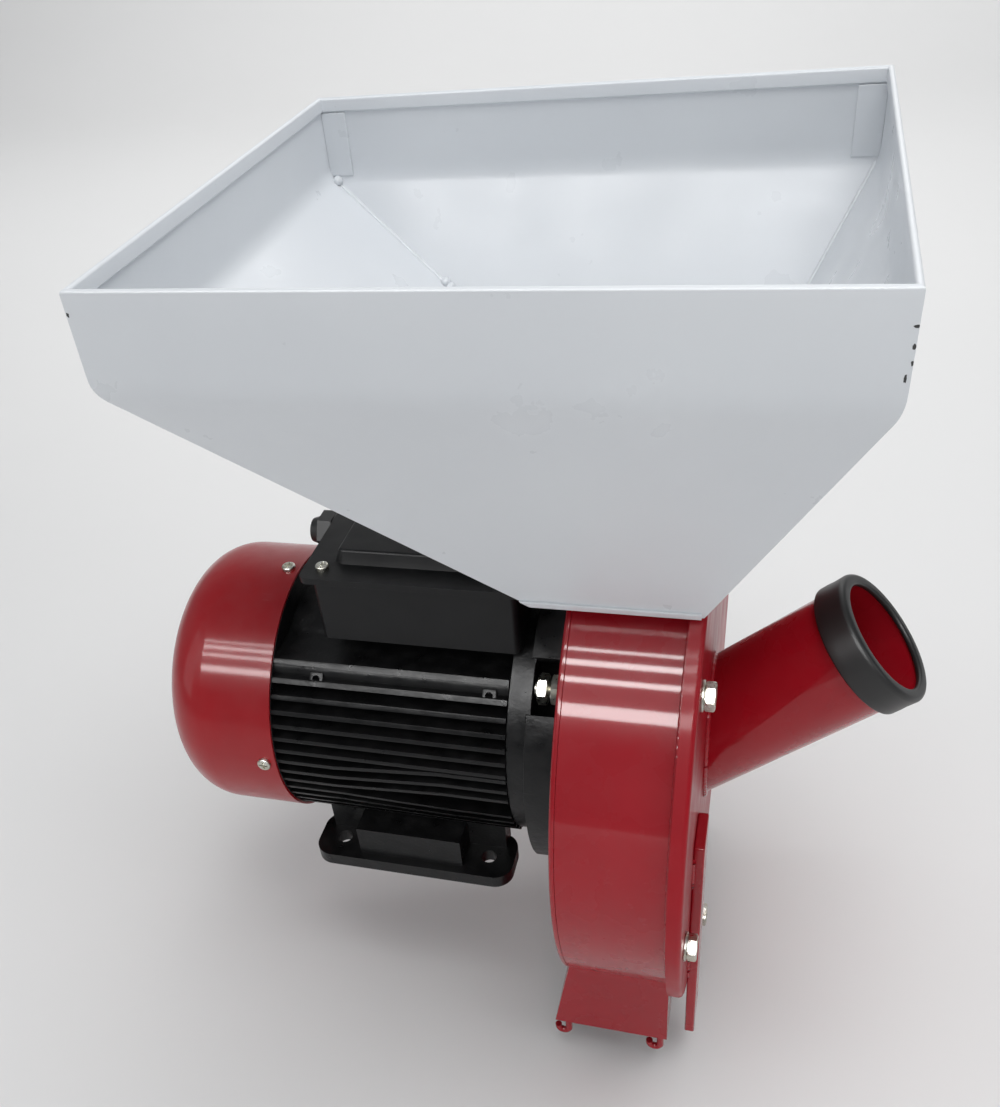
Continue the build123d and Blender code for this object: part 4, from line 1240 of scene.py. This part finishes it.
@dataclass
class Motor:
    """The cast motor: ribbed body, shields, cowl, studs and nuts, and what spins inside.

    Args:
        shop: where pieces are made.
        stud_circle: radius of the circle of studs.
        stud_x: x of the studs' rear ends.
        stud_end_x: x of their front ends.
        nuts: x of the seat, size across flats, height and turn of each nut on a stud.
        lug_x: x of the two cast lugs.
        lug_seat: distance of their feet from the shaft.
    """

    shop: Workshop
    stud_circle: float = 0.0825
    stud_x: float = 0.0865
    stud_end_x: float = 0.123
    nuts: tuple[tuple[float, float, float, float], ...] = (
        (0.096, 0.017, 0.008, 0.2),
        (0.088, 0.016, 0.006, 0.75),
        (0.115, 0.017, 0.006, 0.4),
    )
    lug_x: tuple[float, float] = (-0.0475, 0.0600)
    lug_seat: float = 0.0795

    def build(self) -> None:
        """Dress the castings and build the studs, nuts and cast details."""
        self.shop.soften("motor_housing", 0.0009)
        self.shop.soften("front_end_shield", 0.0012)
        self.shop.soften("rear_end_shield", 0.0008)
        self.shop.dress("fan_cowl")
        for node in ("shield_bolts", "cowl_screws"):
            self.shop.soften(node, 0.0003)
        for node in ("stator_core", "stator_windings", "bearing_outer_rings", "bearing_balls"):
            self.shop.dress(node)
        self.studs()
        self.cast_lugs()

    def cast_lugs(self) -> None:
        """Two small drilled lugs cast on the lower flank of the bolt boss that faces forward."""
        turn = math.radians(40)
        outward = Vector((0, -math.cos(turn), math.sin(turn)))
        lugs = []
        for index, x in enumerate(self.lug_x):
            seat = Vector((x, 0, SHAFT_Z)) + outward * self.lug_seat
            lugs.append(
                drilled_lug(
                    f"lug_{index}", seat, outward, side=0.0088, height=0.0058, bore=0.0021, depth=0.0035
                )
            )
        self.shop.settle(join(lugs, "housing_cast_lugs"), Slot.MOTOR, 30.0)

    def studs(self) -> None:
        """Four threaded studs with a pair of nuts each on the motor's side and one inside the drum."""
        rods = []
        nuts = []
        radius, bore = 0.005, 0.00505
        length = self.stud_end_x - self.stud_x
        for k in range(4):
            angle = math.radians(45 + 90 * k)
            end = round_shaft(self.stud_x, self.stud_circle, angle)
            rods.append(thread(f"rod_{k}", end, ALONG_SHAFT, length, radius, pitch=0.0015))
            for n, (x, across, height, spin) in enumerate(self.nuts):
                seat = round_shaft(x, self.stud_circle, angle)
                turn = spin + 0.6 * k
                nuts.append(hex_piece(f"nut_{k}_{n}", seat, ALONG_SHAFT, across, height, bore, turn))
        self.shop.settle(join(rods, "flange_stud_set"), Slot.ZINC, 30.0, "flange_studs")
        self.shop.settle(join(nuts, "flange_nut_set"), Slot.ZINC, 30.0, "flange_nuts")


@dataclass
class TerminalBox:
    """The box of wiring on the motor, with its raised lid, screws and cable gland.

    Args:
        shop: where pieces are made.
    """

    shop: Workshop

    def build(self) -> None:
        """Dress the box and what is in and on it."""
        self.shop.soften("terminal_box", 0.0012, 3)
        self.shop.soften("terminal_box_lid", 0.0010, 3)
        self.shop.soften("lid_screws", 0.0003)
        self.shop.soften("cable_gland", 0.0007, 3)
        self.shop.soften("terminal_block", 0.0008)
        self.shop.dress("run_capacitor")


@dataclass
class MillRotor:
    """What turns: motor shaft and core, fan, hub, discs, pins and swinging hammers.

    Args:
        shop: where pieces are made.
    """

    shop: Workshop

    def build(self) -> None:
        """Dress every turning piece."""
        plain = ("motor_shaft", "rotor_core", "bearing_inner_rings", "shaft_key", "pin_spacers", "pin_clips")
        for node in plain:
            self.shop.dress(node)
        for node, width in (
            ("cooling_fan", 0.0006),
            ("hub_sleeve", 0.0005),
            ("hammer_disc_rear", 0.0004),
            ("hammer_disc_front", 0.0004),
            ("hammer_pins", 0.0004),
            ("hub_washer", 0.0004),
            ("hub_bolt", 0.0004),
            ("hammer_1", 0.0006),
            ("hammer_2", 0.0006),
            ("hammer_3", 0.0006),
            ("hammer_4", 0.0006),
        ):
            self.shop.soften(node, width)


@dataclass
class Studio:
    """Pale floor, soft lights and the camera.

    Args:
        floor_z: height of the floor, 15 mm under the bag hooks.
        eye: where the camera stands.
        heading: the camera's yaw, pitch and roll in radians.
        focal: focal length in image widths.
        centre: the optical centre, as shares of the image's width from its left and top edges.
        aspect: the image's height over its width.
        tube_length: length of the narrow lamps that run along the shaft.
        tube_radiance: their brightness.
        tube_distance: how far off they hang.
    """

    floor_z: float = -0.1275
    eye: tuple[float, float, float] = (0.2053, -0.5256, 0.5636)
    heading: tuple[float, float, float] = (-0.36429, 0.672065, 0.14266)
    focal: float = 1.10896
    centre: tuple[float, float] = (0.4335, 0.6556)
    aspect: float = 1.107
    tube_length: float = 1.9
    tube_radiance: float = 24.0
    tube_distance: float = 1.6

    def build(self) -> None:
        """Make the floor, the lights, the surroundings and the camera."""
        self.floor()
        self.lights()
        self.camera()

    def floor(self) -> None:
        """A wide pale floor that curves up far behind the mill."""
        verts: list[Vector] = []
        flat_end, curve = 2.4, 1.2
        profile = [(-3.0, 0.0), (flat_end, 0.0)]
        steps = 12
        for k in range(1, steps + 1):
            angle = math.pi / 2 * k / steps
            profile.append((flat_end + curve * math.sin(angle), curve - curve * math.cos(angle)))
        profile.append((flat_end + curve, 5.0))
        for x in (-5.0, 5.0):
            verts += [Vector((x, y, self.floor_z + z)) for y, z in profile]
        count = len(profile)
        faces = [(k, k + 1, count + k + 1, count + k) for k in range(count - 1)]
        floor = new_mesh("studio_floor", verts, faces)
        for polygon in floor.data.polygons:
            polygon.use_smooth = True
        finish = Finish(
            "studio_paper", (0.78, 0.78, 0.775), (0.76, 0.76, 0.755), drift=0.4, drift_scale=2.0,
            rough=(0.75, 0.9), grain_scale=600.0, specular=0.2,
        )
        floor.data.materials.append(finish.material())

    def lamp(self, name: str, place: Vector, target: Vector, size: tuple[float, float], power: float) -> Piece:
        """Hang a rectangular lamp.

        Args:
            name: its name.
            place: where it hangs.
            target: the point that it faces.
            size: its width and height.
            power: its power in watts.

        Returns:
            The lamp.
        """
        light = bpy.data.lights.new(name, "AREA")
        light.shape = "RECTANGLE"
        light.size, light.size_y = size
        light.energy = power
        obj = bpy.data.objects.new(name, light)
        obj.location = place
        obj.rotation_euler = (target - place).to_track_quat("-Z", "Y").to_euler()
        bpy.context.scene.collection.objects.link(obj)
        return obj

    def lights(self) -> None:
        """Narrow lamps that only reflections show, and soft panels, in even pale surroundings."""
        middle = Vector((-0.15, -0.11, 0.2))
        tubes = ((62.7, 0.035, 1.0), (57.2, 0.065, 1.1), (50.0, 0.06, 1.1), (37.4, 0.15, 0.9))
        for index, (rise, width, share) in enumerate(tubes):
            turn = math.radians(rise)
            place = middle + Vector((0, -math.cos(turn), math.sin(turn))) * self.tube_distance
            power = self.tube_radiance * share * math.pi * self.tube_length * width
            tube = self.lamp(f"tube_{index}", place, middle, (self.tube_length, width), power)
            tube.visible_diffuse = False
        panels = (
            ("ceiling_panel", (0.35, -0.2, 1.75), (0.0, 0.0, 0.15), (1.2, 1.1), 20.0),
            ("left_panel", (-1.35, -0.75, 0.75), (0.0, 0.0, 0.1), (0.7, 1.2), 2.0),
            ("front_panel", (0.25, -1.75, 0.35), (0.1, 0.0, 0.1), (1.1, 0.8), 7.0),
            ("right_panel", (1.5, -0.55, 0.9), (0.15, 0.0, 0.1), (0.4, 1.0), 2.5),
            ("rear_panel", (0.2, 1.5, 1.2), (0.1, 0.0, 0.15), (1.0, 0.8), 2.5),
            ("backdrop_panel", (-0.4, 1.3, 2.3), (-0.9, 3.4, 0.6), (3.4, 0.5), 60.0),
        )
        unseen = {"ceiling_panel", "front_panel", "backdrop_panel"}
        for name, place, target, size, power in panels:
            panel = self.lamp(name, Vector(place), Vector(target), size, power)
            panel.visible_glossy = name not in unseen
        world = bpy.data.worlds.new("studio_surroundings")
        world.use_nodes = True
        background = world.node_tree.nodes["Background"]
        background.inputs["Color"].default_value = (0.93, 0.95, 1.0, 1.0)
        background.inputs["Strength"].default_value = 0.25
        bpy.context.scene.world = world
        bpy.context.scene.view_settings.view_transform = "Standard"

    def camera(self) -> None:
        """The camera, above the hopper's rim in front of the mill, turned, tipped and rolled."""
        film_width = 36.0
        yaw, pitch, roll = self.heading
        ahead = Vector((math.sin(yaw) * math.cos(pitch), math.cos(yaw) * math.cos(pitch), -math.sin(pitch)))
        flat_right = Vector((math.cos(yaw), -math.sin(yaw), 0))
        flat_down = ahead.cross(flat_right)
        right = flat_right * math.cos(roll) + flat_down * math.sin(roll)
        down = flat_down * math.cos(roll) - flat_right * math.sin(roll)
        data = bpy.data.cameras.new("view")
        data.sensor_fit = "HORIZONTAL"
        data.sensor_width = film_width
        data.lens = self.focal * film_width
        data.shift_x = 0.5 - self.centre[0]
        data.shift_y = self.centre[1] - self.aspect / 2
        data.clip_start = 0.01
        obj = bpy.data.objects.new("view", data)
        turn = Matrix((right, -down, -ahead)).transposed().to_4x4()
        obj.matrix_world = Matrix.Translation(Vector(self.eye)) @ turn
        bpy.context.scene.collection.objects.link(obj)
        bpy.context.scene.camera = obj


def main() -> None:
    """Load the frame, build each sub-assembly in order, then the studio."""
    logging.basicConfig(level=logging.INFO, format="%(name)s: %(message)s")
    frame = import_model()
    shop = Workshop(frame)
    Hopper(shop).build()
    Drum(shop).build()
    FeedPipe(shop).build()
    Motor(shop).build()
    TerminalBox(shop).build()
    MillRotor(shop).build()
    left = sorted(set(frame["nodes"]) - shop.handled)
    for node in left:
        shop.dress(node)
    log.info("nodes dressed last: %s", left)
    Studio().build()


if __name__ == "__main__":
    main()
